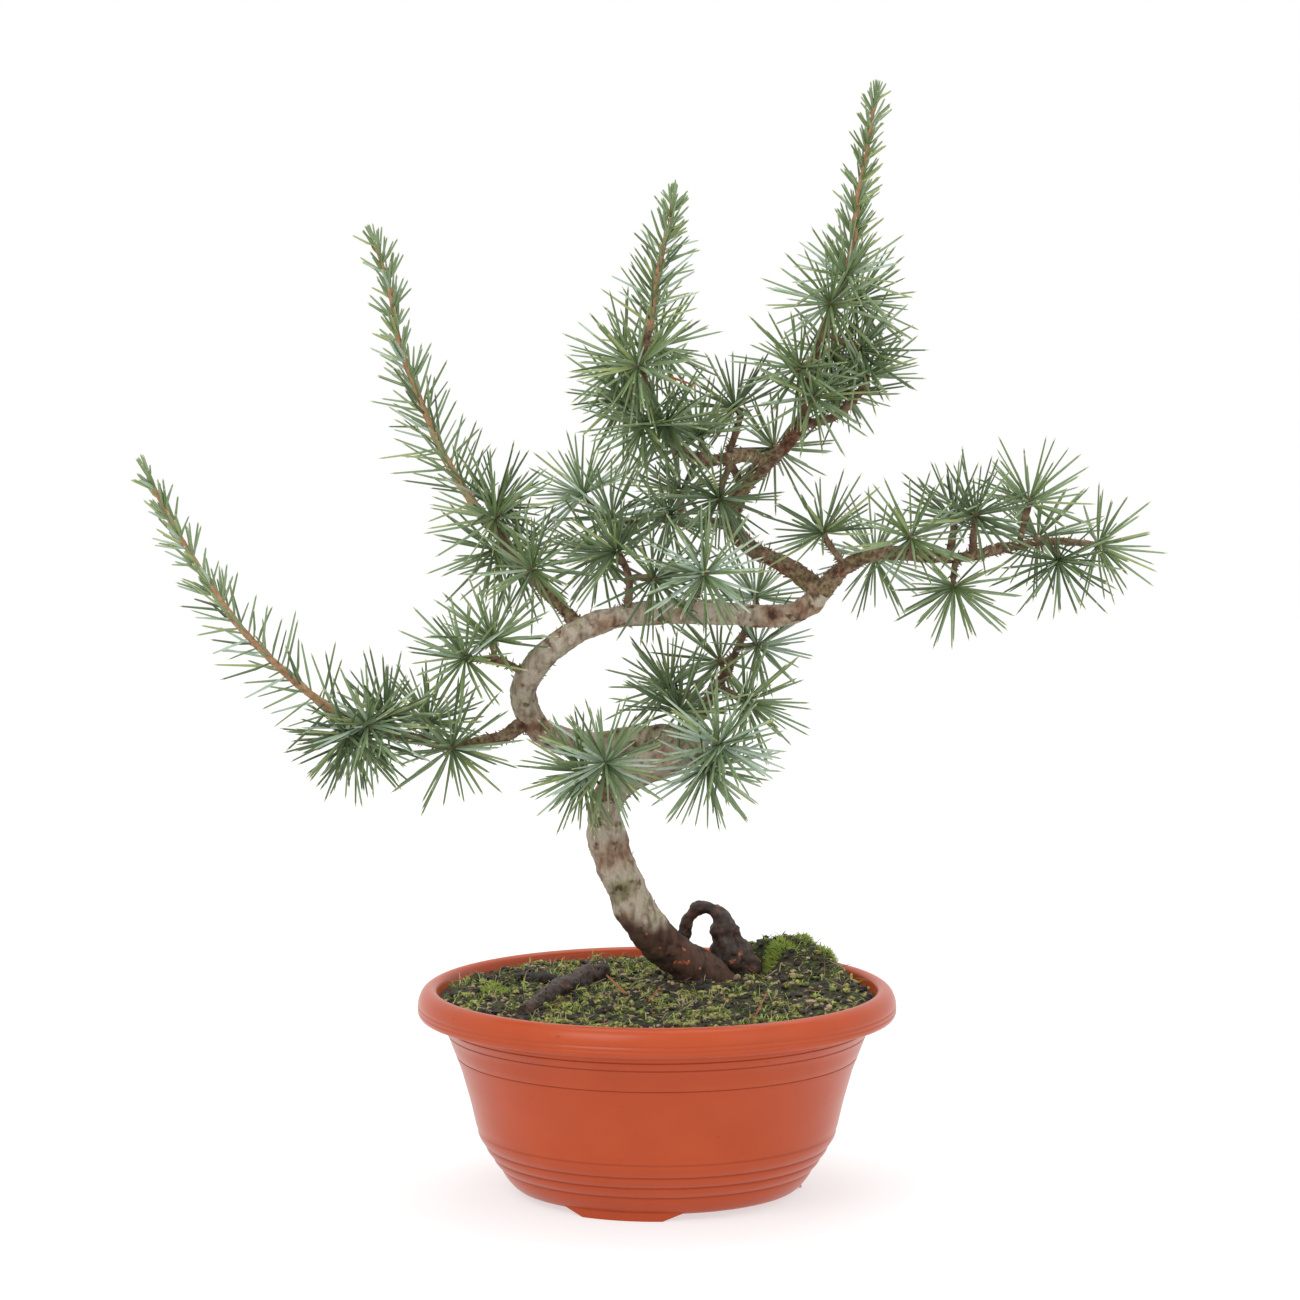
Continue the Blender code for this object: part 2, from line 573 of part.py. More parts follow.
def make_lying_root():
    """A bare root that lies on the soil and runs towards the front left."""
    share = np.linspace(0, 1, len(LYING_ROOT))
    radii = LYING_RADII[0] + (LYING_RADII[1] - LYING_RADII[0]) * share
    points = [(x, y, soil_height(x, y) + radius + 1.5 * GAP) for (x, y), radius in zip(LYING_ROOT, radii)]
    path = smooth_path(points, 9.0)
    radii = LYING_RADII[0] + (LYING_RADII[1] - LYING_RADII[0]) * np.linspace(0, 1, len(path))
    note_limb("lying_root", path, radii)
    return mesh_object("lying_root", tube(path, radii, BOUGH_SIDES), "root bark", 50)


def make_bough(name, carrier, points, start, end):
    path = limb_path(points, carrier, start, STEM_STEP * 0.8)
    radii = np.linspace(start, end, len(path))
    note_limb(name, path, radii)
    return mesh_object(name, tube(path, radii, BOUGH_SIDES), "bark", 50)


def spur_plan(name, path, rosettes, chance):
    """Each rosette's spur: where it leaves the stem, its middle, and the way it faces. A spur
    that would touch another limb tries a few other ways, and is left out if all of them do."""
    plan = []
    walked = np.concatenate([[0], np.cumsum(np.linalg.norm(np.diff(path, axis=0), axis=1))])
    for place, side, stalk in rosettes:
        mark = min(walked[-1], max(SPUR_CLEAR, place * walked[-1]))
        root = Vector([float(np.interp(mark, walked, path[:, axis])) for axis in range(3)])
        for attempt in range(SPUR_TRIES):
            way = (side.normalized() + straying(chance, SPUR_LEAN * (1 + attempt / 3))).normalized()
            middle = root + stalk * way
            outer = root.lerp(middle, 0.4)
            spur_room = clearance(outer, middle, SPUR_RADIUS, leave_out=(name,))
            core_room = clearance(middle - 0.1 * way, middle + 0.1 * way, CORE_RADIUS, leave_out=(name,))
            if min(spur_room, core_room) > GAP:
                plan.append((root, middle, way))
                rods[name] += [(*root, *middle, SPUR_RADIUS), (*outer, *(middle + 0.1 * way), SPUR_RADIUS)]
                rods[name].append((*(middle - 0.1 * way), *(middle + 0.1 * way), CORE_RADIUS))
                break
    return plan


def straying(chance, amount):
    return amount * Vector([chance.uniform(-1, 1) for _ in range(3)])


def needle_rods(root, tip, radius):
    """A needle as two rods, the outer one half as thick."""
    middle = root.lerp(tip, 0.5)
    return (root, middle, radius), (middle, tip, radius / 2)


def grows_clear(name, root, tip, radius):
    """Whether a needle keeps clear of every other node. If so it is noted as built."""
    halves = needle_rods(root, tip, radius)
    if min(clearance(*half, leave_out=(name,)) for half in halves) <= GAP:
        return False
    rods[name] += [(*low, *high, thick) for low, high, thick in halves]
    return True


def rosette(name, middle, way, chance):
    """A small core turned by chance, with a needle drawn out of each face that looks the
    spur's way and has room for one."""
    turned = Euler([chance.uniform(0, math.tau) for _ in range(3)]).to_matrix().to_4x4()
    bm = bmesh.new()
    bmesh.ops.create_icosphere(bm, subdivisions=1, radius=CORE_RADIUS,
                               matrix=Matrix.Translation(middle) @ turned)
    bm.normal_update()
    for face in list(bm.faces):
        out = (face.normal + straying(chance, NEEDLE_STRAY)).normalized()
        tip = middle + NEEDLE_LENGTH * chance.uniform(0.86, 1.12) * out
        if out.angle(way) < ROSETTE_SPREAD and grows_clear(name, middle, tip, NEEDLE_RADIUS):
            bmesh.ops.poke(bm, faces=[face])["verts"][0].co = tip
    return bm


def shoot_needles(name, path, radii, number, longest, shortest, chance):
    """Single needles that wind round a young shoot and lean towards its tip."""
    pairs = frames_along(path)
    tangents = np.gradient(path, axis=0)
    needles = []
    for k in range(number):
        place = (k + 0.6) / number * (len(path) - 1)
        low = min(int(place), len(path) - 2)
        root = Vector(path[low]).lerp(Vector(path[low + 1]), place - low)
        along = Vector(tangents[low]).normalized()
        u, v = pairs[low]
        turn = k * GOLDEN_ANGLE
        lean = SHOOT_LEAN * (1 - 0.35 * k / number)
        length = longest + (shortest - longest) * k / number
        way = math.cos(lean) * along + math.sin(lean) * (math.cos(turn) * u + math.sin(turn) * v)
        tip = root + length * chance.uniform(0.88, 1.1) * way
        radius = min(NEEDLE_RADIUS, NEEDLE_SHARE * float(radii[low + 1]))
        if grows_clear(name, root, tip, radius):
            needles.append(needle(root, tip, radius))
    return needles


def needle(root, tip, radius):
    """A three-sided point."""
    along = (tip - root).normalized()
    u = along.orthogonal().normalized()
    v = along.cross(u)
    bm = bmesh.new()
    base = [bm.verts.new(root + radius * (math.cos(a) * u + math.sin(a) * v))
            for a in (0, math.tau / 3, 2 * math.tau / 3)]
    end = bm.verts.new(tip)
    bm.faces.new(base[::-1])
    for k in range(3):
        bm.faces.new((base[k], base[(k + 1) % 3], end))
    return bm


def plan_mass(name, carrier, points, start, end, rosettes, shoot):
    """The mass's stem and spurs, noted before any needle grows so that all keep clear of them."""
    chance = random.Random(f"{SEED} {name}")
    path = limb_path(points, carrier, start, STEM_STEP)
    radii = np.linspace(start, end, len(path))
    note_limb(name, path, radii)
    plan = spur_plan(name, path, rosettes, chance)
    return path, radii, plan, chance


def grow_mass(name, path, radii, plan, chance, shoot):
    """One mass: its stem, spurs, rosettes and shoot needles, fused into one solid."""
    stem = mesh_object(name, tube(path, radii, STEM_SIDES), "needles", 40)
    pieces = []
    for root, middle, way in plan:
        spur = np.array([root, middle])
        pieces.append(tube(spur, (SPUR_RADIUS, SPUR_RADIUS), 3))
        pieces.append(rosette(name, middle, way, chance))
    if shoot:
        pieces += shoot_needles(name, path, radii, *shoot, chance)
    if shoot and not any(sizes[0] == f"{name}+" for sizes in MASSES.values()):
        tip, along = ends[name]
        thick = NEEDLE_SHARE * float(radii[-1])
        pieces.append(needle(Vector(tip) - along, Vector(tip) + shoot[-1] * along, thick))
    fuse(stem, [mesh_object("piece", bm) for bm in pieces])


for leftover in list(bpy.data.objects):
    bpy.data.objects.remove(leftover)
plant = bpy.data.objects.new("plant", None)
bpy.context.collection.objects.link(plant)

make_pot()
make_soil()
make_trunk()
make_root_loop()
make_lying_root()
for bough, (carried_by, *sizes) in BOUGHS.items():
    make_bough(bough, carried_by, *sizes)
planned = {mass: plan_mass(mass, *sizes) for mass, sizes in MASSES.items()}
for mass, (*grown, chance_of) in planned.items():
    grow_mass(mass, *grown, chance_of, MASSES[mass][-1])
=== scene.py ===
"""A small blue atlas cedar, trained as a wind-swept bonsai in a round plastic pot, in a studio.

It follows the tree as it was potted: the pot, the soil with what grows on it, the roots, the
trunk, the boughs, the twigs with their needles, and then the studio. Sizes are in millimetres
and are scaled once, where a mesh is made.
"""

import math
import random

import bpy
import bmesh
import numpy as np
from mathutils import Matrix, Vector, noise


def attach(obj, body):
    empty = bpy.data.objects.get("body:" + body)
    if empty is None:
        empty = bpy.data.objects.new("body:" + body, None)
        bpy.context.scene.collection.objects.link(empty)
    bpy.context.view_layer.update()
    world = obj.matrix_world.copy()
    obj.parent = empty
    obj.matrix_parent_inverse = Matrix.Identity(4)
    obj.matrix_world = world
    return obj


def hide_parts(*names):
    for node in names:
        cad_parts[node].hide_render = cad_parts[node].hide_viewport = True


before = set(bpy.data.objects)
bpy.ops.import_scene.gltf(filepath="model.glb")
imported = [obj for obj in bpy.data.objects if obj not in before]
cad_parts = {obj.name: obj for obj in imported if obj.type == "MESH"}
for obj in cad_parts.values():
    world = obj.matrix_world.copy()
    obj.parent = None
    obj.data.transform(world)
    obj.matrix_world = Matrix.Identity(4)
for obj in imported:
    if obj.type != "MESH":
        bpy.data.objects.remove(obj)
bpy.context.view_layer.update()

# The pot: moulded terracotta-coloured plastic, round, with stepped bands at its foot, faint
# lines on its wall, a rolled rim and three short feet. Its grooves, its wall lines and its
# lowest band are darkened by painted shade.
MM = 0.001
SHARP_ANGLE = math.radians(50)
POT_SEGMENTS = 144
FOOT_HEIGHT = 2.5
FOOT_RADII = (42.0, 52.0)
FOOT_ANGLES = (-104.0, 16.0, 136.0)
FOOT_HALF_WIDTH = (16.0, 25.0)
FOOT_STEPS = 16
FOOT_OVERLAP = 0.5
FOOT_DRAFT = 0.3
BASE_RADIUS = 44.0
BAND_HEIGHTS = (2.5, 9.2, 13.2, 17.3)
BAND_RADII = (51.4, 56.2, 59.0, 61.6)
BAND_STEPS = 8
BAND_BULGE = 0.715
BAND_ROUNDING = 0.6
BODY = ((22.5, 64.3), (33.0, 66.7), (45.0, 70.1), (57.5, 74.9))
UNDER_LIP = ((76.9, 61.6), (77.6, 63.8), (83.8, 63.5))
RIM = (
    (84.7, 63.8), (85.3, 64.9), (85.4, 66.6), (85.0, 69.3), (83.6, 72.1),
    (81.0, 73.6), (78.9, 72.8), (78.0, 70.5),
)
POT_WALL = 1.8
POT_FLOOR = 4.5
FLOOR_CORNER = 3.0
INSIDE_HEIGHTS = (68.0, 57.5, 45.0, 33.0, 22.5, 8.5)
INSIDE_SLOPE = 0.62
GROOVE = 0.25
WALL_SPAN = (24.5, 59.5)
WALL_STEP = 2.5
WALL_FLARE = 0.5
WALL_LINES = (49.5, 57.4, 60.4)
WALL_LINE = (0.1, 0.25, 0.35)
RIM_STEP = 0.8
RIM_CREST = 81.5
RIM_LINES = ((65.9, 85.35), (67.5, 85.25))
RIM_LINE = (0.22, 0.45, 0.5)
# The painted shade: one more groove's height, and how far below and above the grooves and the wall lines
# it reaches.
TOP_GROOVE = 22.4
GROOVE_SHADE_REACH = (0.5, 0.6)
LINE_SHADE_REACH = (0.4, 0.5)


def wired(tree, kind, inputs, **settings):
    """A new node with these settings, and with inputs set to a value or linked to an output."""
    made = tree.nodes.new(kind)
    for name, value in settings.items():
        setattr(made, name, value)
    for name, given in inputs.items():
        if isinstance(given, bpy.types.NodeSocket):
            tree.links.new(given, made.inputs[name])
        else:
            made.inputs[name].default_value = given
    return made


def colour_ramp(tree, driver, stops):
    """The output of a colour ramp over a value, each stop a position from 0 to 1 and a colour."""
    ramp = wired(tree, "ShaderNodeValToRGB", {"Fac": driver})
    while len(ramp.color_ramp.elements) < len(stops):
        ramp.color_ramp.elements.new(0.5)
    for stop, (position, colour) in zip(ramp.color_ramp.elements, stops):
        stop.position = position
        stop.color = (*colour, 1)
    return ramp.outputs["Color"]


def object_noise(tree, grain, detail, stretch=(1, 1, 1)):
    """The output of a noise in the object's own space."""
    coords = wired(tree, "ShaderNodeTexCoord", {}).outputs["Object"]
    place = wired(tree, "ShaderNodeMapping", {"Vector": coords, "Scale": stretch}).outputs["Vector"]
    return wired(tree, "ShaderNodeTexNoise", {
        "Vector": place, "Scale": grain, "Detail": detail,
    }).outputs["Fac"]


def surface(name, tones, grain, roughness, relief=0.0, stretch=(1, 1, 1)):
    """A material whose colour runs through the tones by a fine noise, with a bump in metres."""
    made = bpy.data.materials.new(name)
    made.use_nodes = True
    tree = made.node_tree
    shader = tree.nodes["Principled BSDF"].inputs
    shader["Roughness"].default_value = roughness
    speckle = object_noise(tree, grain, 8, stretch)
    tree.links.new(colour_ramp(tree, speckle, tones), shader["Base Color"])
    if relief:
        bump = wired(tree, "ShaderNodeBump", {"Distance": relief, "Height": speckle})
        tree.links.new(bump.outputs["Normal"], shader["Normal"])
    return made


def two_tone(name, low, high, grain, roughness, relief=0.0):
    """A material that runs from one colour to another."""
    return surface(name, ((0.3, low), (0.7, high)), grain, roughness, relief)


def tint(made, driver, stops):
    """Multiplies a material's colour by a ramp over a value that runs from 0 to 1."""
    tree = made.node_tree
    base = tree.nodes["Principled BSDF"].inputs["Base Color"]
    mix = wired(tree, "ShaderNodeMix", {
        "Factor": 1, 6: base.links[0].from_socket, 7: colour_ramp(tree, driver, stops),
    }, data_type="RGBA", blend_type="MULTIPLY")
    tree.links.new(mix.outputs[2], base)


def patches(made, grain, stops):
    """Tints a material in patches: the grain is how many of them there are to a metre."""
    tint(made, object_noise(made.node_tree, grain, 5), stops)


def shade_by_height(made, stops, top, ragged):
    """Tints a material by height up to the top, with a ragged edge, all in metres."""
    tree = made.node_tree
    coords = wired(tree, "ShaderNodeTexCoord", {}).outputs["Object"]
    height = wired(tree, "ShaderNodeSeparateXYZ", {0: coords}).outputs["Z"]
    shifted = wired(tree, "ShaderNodeMath", {
        0: object_noise(tree, 90, 2), 1: ragged, 2: height,
    }, operation="MULTIPLY_ADD")
    share = wired(tree, "ShaderNodeMath", {0: shifted.outputs[0], 1: top}, operation="DIVIDE")
    tint(made, share.outputs[0], [(at / top, colour) for at, colour in stops])


def fit_piece(name, mesh, nodes):
    """Fits a finished mesh to the plant, in place of the nodes named."""
    obj = bpy.data.objects.new(name, mesh)
    bpy.context.collection.objects.link(obj)
    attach(obj, "root")
    if nodes:
        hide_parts(*nodes)


class Skin:
    """Points in millimetres and faces that are gathered for one piece."""

    def __init__(self):
        self.points, self.faces, self.indices = [], [], []

    def add(self, points, faces, index=0):
        """Adds points and faces, all of them in the material with this index."""
        start = len(self.points)
        self.points += points
        self.faces += [tuple(start + k for k in face) for face in faces]
        self.indices += [index] * len(faces)

    def mesh(self, name):
        """The gathered points and faces as a mesh in metres."""
        mesh = bpy.data.meshes.new(name)
        mesh.from_pydata([tuple(MM * c for c in p) for p in self.points], [], self.faces)
        return mesh

    def finish(self, name, materials, nodes, slot, smooth=True):
        """Makes the piece, with its faces turned outwards."""
        mesh = self.mesh(name)
        for made in materials:
            mesh.materials.append(made)
        mesh.polygons.foreach_set("material_index", self.indices)
        bm = bmesh.new()
        bm.from_mesh(mesh)
        bmesh.ops.recalc_face_normals(bm, faces=bm.faces)
        bm.to_mesh(mesh)
        bm.free()
        if smooth:
            mesh.shade_smooth()
            mesh.set_sharp_from_angle(angle=SHARP_ANGLE)
        fit_piece(name, mesh, nodes)


def side_faces(rings, sides):
    """The faces between the rings of a tube, whose points run round one ring after another."""
    faces = []
    for low in range(0, (rings - 1) * sides, sides):
        for k in range(sides):
            j = (k + 1) % sides
            faces.append((low + k, low + j, low + sides + j, low + sides + k))
    return faces


def tube_faces(rings, sides, pointed=False):
    """All the faces of a tube with flat ends, or with one last point at its far end."""
    last = (rings - 1) * sides
    end = [tuple(range(last, last + sides))]
    if pointed:
        end = [(last + k, last + (k + 1) % sides, last + sides) for k in range(sides)]
    return [tuple(range(sides))[::-1], *side_faces(rings, sides), *end]


def distances(path):
    """How far along a path each of its points lies."""
    return np.concatenate([[0], np.cumsum(np.linalg.norm(np.diff(path, axis=0), axis=1))])


def smooth_path(points, step):
    """Even steps along the smooth curve through the way points, as an array."""
    way = [Vector(p) for p in points]
    way = [2 * way[0] - way[1], *way, 2 * way[-1] - way[-2]]
    fine = []
    for a, b, c, d in zip(way, way[1:], way[2:], way[3:]):
        for k in range(16):
            t = k / 16
            fine.append(0.5 * (2 * b + (c - a) * t + (2 * a - 5 * b + 4 * c - d) * t * t
                               + (3 * b - a - 3 * c + d) * t ** 3))
    fine = np.array([*fine, way[-2]])
    walked = distances(fine)
    marks = np.linspace(0, walked[-1], max(2, round(walked[-1] / step) + 1))
    return np.stack([np.interp(marks, walked, fine[:, axis]) for axis in range(3)], axis=1)


def inner_radius(height):
    """The radius of the pot's inner wall at a height."""
    heights, radii = zip(*((z, r - POT_WALL) for z, r in BODY), (RIM[-1][1], RIM[-1][0]))
    under = max(0.0, BODY[0][0] - height)
    return float(np.interp(height, heights, radii)) - under * INSIDE_SLOPE


def fine_outline():
    """The pot's outer outline: rounded bands, faint steps on the wall and lines on the rim."""
    points = []
    ends = (*zip(BAND_HEIGHTS[1:], BAND_RADII[1:]), BODY[0])
    for low, inner, (high, outer) in zip(BAND_HEIGHTS, BAND_RADII, ends):
        for k in range(BAND_STEPS + 1):
            share = k / BAND_STEPS
            bulge = BAND_BULGE * math.sin(math.pi * share) ** BAND_ROUNDING
            radius = inner + (outer - inner) * share + bulge - GROOVE
            points.append((radius, low + (high - low) * share))
    heights, radii = zip(*BODY)
    for height in np.arange(*WALL_SPAN, WALL_STEP):
        points.append((float(np.interp(height, heights, radii)), float(height)))
    step, depth, half = WALL_LINE
    for line in WALL_LINES:
        radius = float(np.interp(line, heights, radii)) + max(0, line - heights[-1]) * WALL_FLARE
        points += [(radius - step, line - half), (radius - depth, line), (radius + step, line + half)]
    points.sort(key=lambda point: point[1])
    rim = [tuple(p[:2]) for p in smooth_path([(*r, 0) for r in RIM], RIM_STEP)]
    outer = [p for p in rim if p[0] > RIM_CREST]
    depth, half, clear = RIM_LINE
    for line, radius in RIM_LINES:
        outer = [p for p in outer if abs(p[1] - line) > clear]
        outer += [(radius, line - half), (radius - depth, line), (radius, line + half)]
    outer.sort(key=lambda point: point[1])
    return [*points, *UNDER_LIP, *outer, *(p for p in rim if p[0] <= RIM_CREST)]


def turned(skin, profile, segments):
    """Adds a body turned from (radius, height) points, with a flat face at each end."""
    turns = [math.tau * k / segments for k in range(segments)]
    points = [(r * math.cos(a), r * math.sin(a), z) for r, z in profile for a in turns]
    skin.add(points, tube_faces(len(profile), segments))


def foot_arc(skin, angle):
    """One foot: a short arc under the pot's edge, wider where it meets the base."""
    inner, outer = FOOT_RADII
    top = FOOT_HEIGHT + FOOT_OVERLAP
    points = []
    for k in range(FOOT_STEPS + 1):
        share = 2 * k / FOOT_STEPS - 1
        low, high = (math.radians(angle + share * half) for half in FOOT_HALF_WIDTH)
        section = ((inner, low, 0), (outer, low, 0), (outer - FOOT_DRAFT, high, top), (inner, high, top))
        points += [(r * math.cos(a), r * math.sin(a), z) for r, a, z in section]
    ends = [(0, 3, 2, 1), tuple(4 * FOOT_STEPS + k for k in range(4))]
    skin.add(points, ends + side_faces(FOOT_STEPS + 1, 4))


plastic = two_tone("pot plastic", (0.40, 0.054, 0.010), (0.44, 0.063, 0.014), 40, 0.29, 0.00006)
plastic.node_tree.nodes["Principled BSDF"].inputs["Specular IOR Level"].default_value = 0.3
patches(plastic, 420, ((0.24, (0.7, 0.66, 0.64)), (0.31, (1, 1, 1))))
# Painted shade by height: dark at the grooves, fainter at the wall lines and towards the foot.
unshaded, deep_shade, faint_shade = (1, 1, 1), (0.70, 0.62, 0.60), (0.91, 0.87, 0.85)
painted_shade = [(0.0, faint_shade)]
for heights, (below, above), tone in (((*BAND_HEIGHTS[1:], TOP_GROOVE), GROOVE_SHADE_REACH, deep_shade),
                                      (WALL_LINES, LINE_SHADE_REACH, faint_shade)):
    for at in heights:
        painted_shade += [((at - below) * MM, unshaded), (at * MM, tone), ((at + above) * MM, unshaded)]
shade_by_height(plastic, painted_shade, top=0.075, ragged=0.0003)
pot = Skin()
inside = [(inner_radius(z), z) for z in INSIDE_HEIGHTS]
bottom = inner_radius(POT_FLOOR) - FLOOR_CORNER
turned(pot, [(BASE_RADIUS, FOOT_HEIGHT), *fine_outline(), *inside, (bottom, POT_FLOOR)], POT_SEGMENTS)
for angle in FOOT_ANGLES:
    foot_arc(pot, angle)
pot.finish("pot_shell", [plastic], ["pot"], "pot")


# The soil: dark crumbs with clods of moss, grit, stones and bark chips pressed into them. It is
# level at the pot's wall and heaped behind the knob.
SEED = 11
GAP = 0.3
CRUMBS, GRIT, CHIPS, MOSS_CLOD, MOSS_DARK = range(5)
CLODS = 1900
CLOD_SIZES = ((0.6, 1.6), (0.5, 1.15), (0.7, 1.9), (0.8, 2.2), (0.6, 1.5))
CLODS_IN_MOSS = (MOSS_CLOD, MOSS_CLOD, MOSS_CLOD, MOSS_DARK, CHIPS, CHIPS, CRUMBS, GRIT)
CLODS_IN_SOIL = (CRUMBS, CRUMBS, CHIPS, CHIPS, CHIPS, MOSS_CLOD, GRIT, GRIT, GRIT)
CLOD_LIFT = 0.2
PEBBLE_STRETCH = ((0.7, 1.3), (0.7, 1.2), (0.5, 0.8))
PEBBLE_WOBBLE = (0.85, 1.15)
MOSS_PATCH = 13.0
MOSS_EDGE = 0.3
MOSS_LEAST = 0.02
STONES = (
    (29, 14, 1.7), (33, 6, 1.5), (54, -26, 2.3), (60, -32, 1.8), (49, 12, 1.5), (-12, 30, 1.6),
    (-20, 46, 1.5),
)
STONE_LIFT = 0.6
BARK_CHIPS = (
    (-45, 22, 7, 4.2), (-62, 22, 5, 3.2), (22, 47, 6, 1.2), (-30, 34, 4, 2), (40, -20, 3, 1.6),
)
CHIP_LUMPS = 5
CHIP_LUMP_SIZES = (0.7, 1)
CHIP_SLANT = 0.4
CHIP_LIFT = 0.3
SOIL_RINGS = 56
SOIL_TURNS = 180
SOIL_MARGIN = 0.35
SKIRT_DEPTH = 4
SKIRT_MARGIN = 0.6
CRUMB_NOISE = ((7.0, 1.3), (2.6, 1.1))
CRUMB_SINK = 0.6
SOIL_LEVEL = 70.2
SOIL_DOME = 1.2
HEAP_AT = (47.0, 38.0)
HEAP_HEIGHT = 13.5
HEAP_SPREAD = 23.0
HEAP_EDGE = 8.0
FOOT_LEVEL = 73.4
FOOT_AT = (20.0, 23.0)
FOOT_PAD = (20.0, 7.0)


def smooth_step(value):
    """Eases from 0 to 1 as the value does, and stays there outside them."""
    value = min(1.0, max(0.0, value))
    return value * value * (3 - 2 * value)


def soil_height(x, y):
    """The soil's surface: a slight dome, the heap at the back right and the pad under the tree."""
    out = math.hypot(x, y)
    heap = math.hypot(x - HEAP_AT[0], y - HEAP_AT[1]) / HEAP_SPREAD
    edge = smooth_step((inner_radius(SOIL_LEVEL) - out) / HEAP_EDGE)
    height = SOIL_LEVEL + edge * (SOIL_DOME + HEAP_HEIGHT * math.exp(-heap * heap))
    from_foot = math.hypot(x - FOOT_AT[0], y - FOOT_AT[1])
    pad = smooth_step((FOOT_PAD[0] + FOOT_PAD[1] - from_foot) / FOOT_PAD[1])
    return height + pad * (FOOT_LEVEL - GAP - height)


def ground(x, y):
    """The soil's height with its crumbs."""
    (broad, high), (fine, low) = CRUMB_NOISE
    rough = noise.noise((x / broad, y / broad, 0)) * high + noise.noise((x / fine, y / fine, 3)) * low
    return soil_height(x, y) + rough - CRUMB_SINK


def mossiness(x, y):
    """How mossy the soil is at a place: patches of moss alternate with bare ones."""
    return noise.noise((x / MOSS_PATCH, y / MOSS_PATCH, 7))


def over_soil(x, y, lift):
    """The point this far above the crumbs."""
    return Vector((x, y, ground(x, y) + lift))


def on_soil(chance, reach):
    """A place drawn evenly from the disc of this radius."""
    radius = reach * math.sqrt(chance.random())
    turn = chance.uniform(0, math.tau)
    return radius * math.cos(turn), radius * math.sin(turn)


def disc_faces(rings, turns):
    """The faces of a disc whose points are its middle and then rings of so many turns."""
    fan = [(0, 1 + k, 1 + (k + 1) % turns) for k in range(turns)]
    return fan + [(1 + a, 1 + d, 1 + c, 1 + b) for a, b, c, d in side_faces(rings, turns)]


def pebble(skin, place, size, chance, index):
    """An uneven stone or crumb of 20 faces."""
    bm = bmesh.new()
    bmesh.ops.create_icosphere(bm, subdivisions=1, radius=1)
    stretch = [chance.uniform(*span) for span in PEBBLE_STRETCH]
    points = []
    for vert in bm.verts:
        wobble = chance.uniform(*PEBBLE_WOBBLE) * size
        points.append(tuple(place[k] + wobble * stretch[k] * vert.co[k] for k in range(3)))
    skin.add(points, [tuple(v.index for v in face.verts) for face in bm.faces], index)
    bm.free()


chance = random.Random(SEED)
crumbs = surface("soil crumbs", (
    (0.3, (0.010, 0.007, 0.005)), (0.52, (0.035, 0.024, 0.016)),
    (0.64, (0.06, 0.055, 0.02)), (0.75, (0.15, 0.12, 0.065)),
), 480, 0.95, 0.0012)
patches(crumbs, 60, ((0.42, (1, 1, 1)), (0.58, (1.0, 1.6, 0.8))))
stone = two_tone("grit", (0.20, 0.14, 0.075), (0.47, 0.36, 0.22), 500, 0.9, 0.0002)
chips = two_tone("bark chips", (0.007, 0.005, 0.004), (0.035, 0.024, 0.017), 700, 0.8, 0.0006)
moss_clod = surface("moss clods", (
    (0.36, (0.03, 0.03, 0.012)), (0.48, (0.17, 0.175, 0.035)), (0.60, (0.38, 0.37, 0.12)),
), 900, 0.9, 0.0006)
moss_dark = two_tone("moss, dark", (0.085, 0.125, 0.02), (0.20, 0.24, 0.05), 300, 0.85)

soil = Skin()
edge = inner_radius(SOIL_LEVEL) - SOIL_MARGIN
ground_points = [(0, 0, ground(0, 0))]
for ring in range(1, SOIL_RINGS + 1):
    for k in range(SOIL_TURNS):
        x = edge * ring / SOIL_RINGS * math.cos(math.tau * k / SOIL_TURNS)
        y = edge * ring / SOIL_RINGS * math.sin(math.tau * k / SOIL_TURNS)
        ground_points.append((x, y, ground(x, y)))
under = SOIL_LEVEL - SKIRT_DEPTH
skirt = (inner_radius(under) - SKIRT_MARGIN) / edge
ground_points += [(x * skirt, y * skirt, under) for x, y, _ in ground_points[-SOIL_TURNS:]]
ground_faces = disc_faces(SOIL_RINGS + 1, SOIL_TURNS)
ground_faces.append(tuple(range(len(ground_points) - SOIL_TURNS, len(ground_points))))
soil.add(ground_points, ground_faces)
for _ in range(CLODS):
    x, y = on_soil(chance, edge - 2)
    mossy = mossiness(x, y) + chance.uniform(-MOSS_EDGE, MOSS_EDGE) > MOSS_LEAST
    kind = chance.choice(CLODS_IN_MOSS if mossy else CLODS_IN_SOIL)
    size = chance.uniform(*CLOD_SIZES[kind])
    pebble(soil, over_soil(x, y, CLOD_LIFT * size), size, chance, kind)
for x, y, size in STONES:
    pebble(soil, over_soil(x, y, STONE_LIFT * size), size, chance, GRIT)
for x, y, long, wide in BARK_CHIPS:
    for k in range(CHIP_LUMPS):
        step = (k - CHIP_LUMPS // 2) * long / 3
        place = over_soil(x + step, y - CHIP_SLANT * step, wide * CHIP_LIFT)
        pebble(soil, place, wide * chance.uniform(*CHIP_LUMP_SIZES), chance, CHIPS)
soil.finish("soil_ground", [crumbs, stone, chips, moss_clod, moss_dark], ["soil"], "soil")


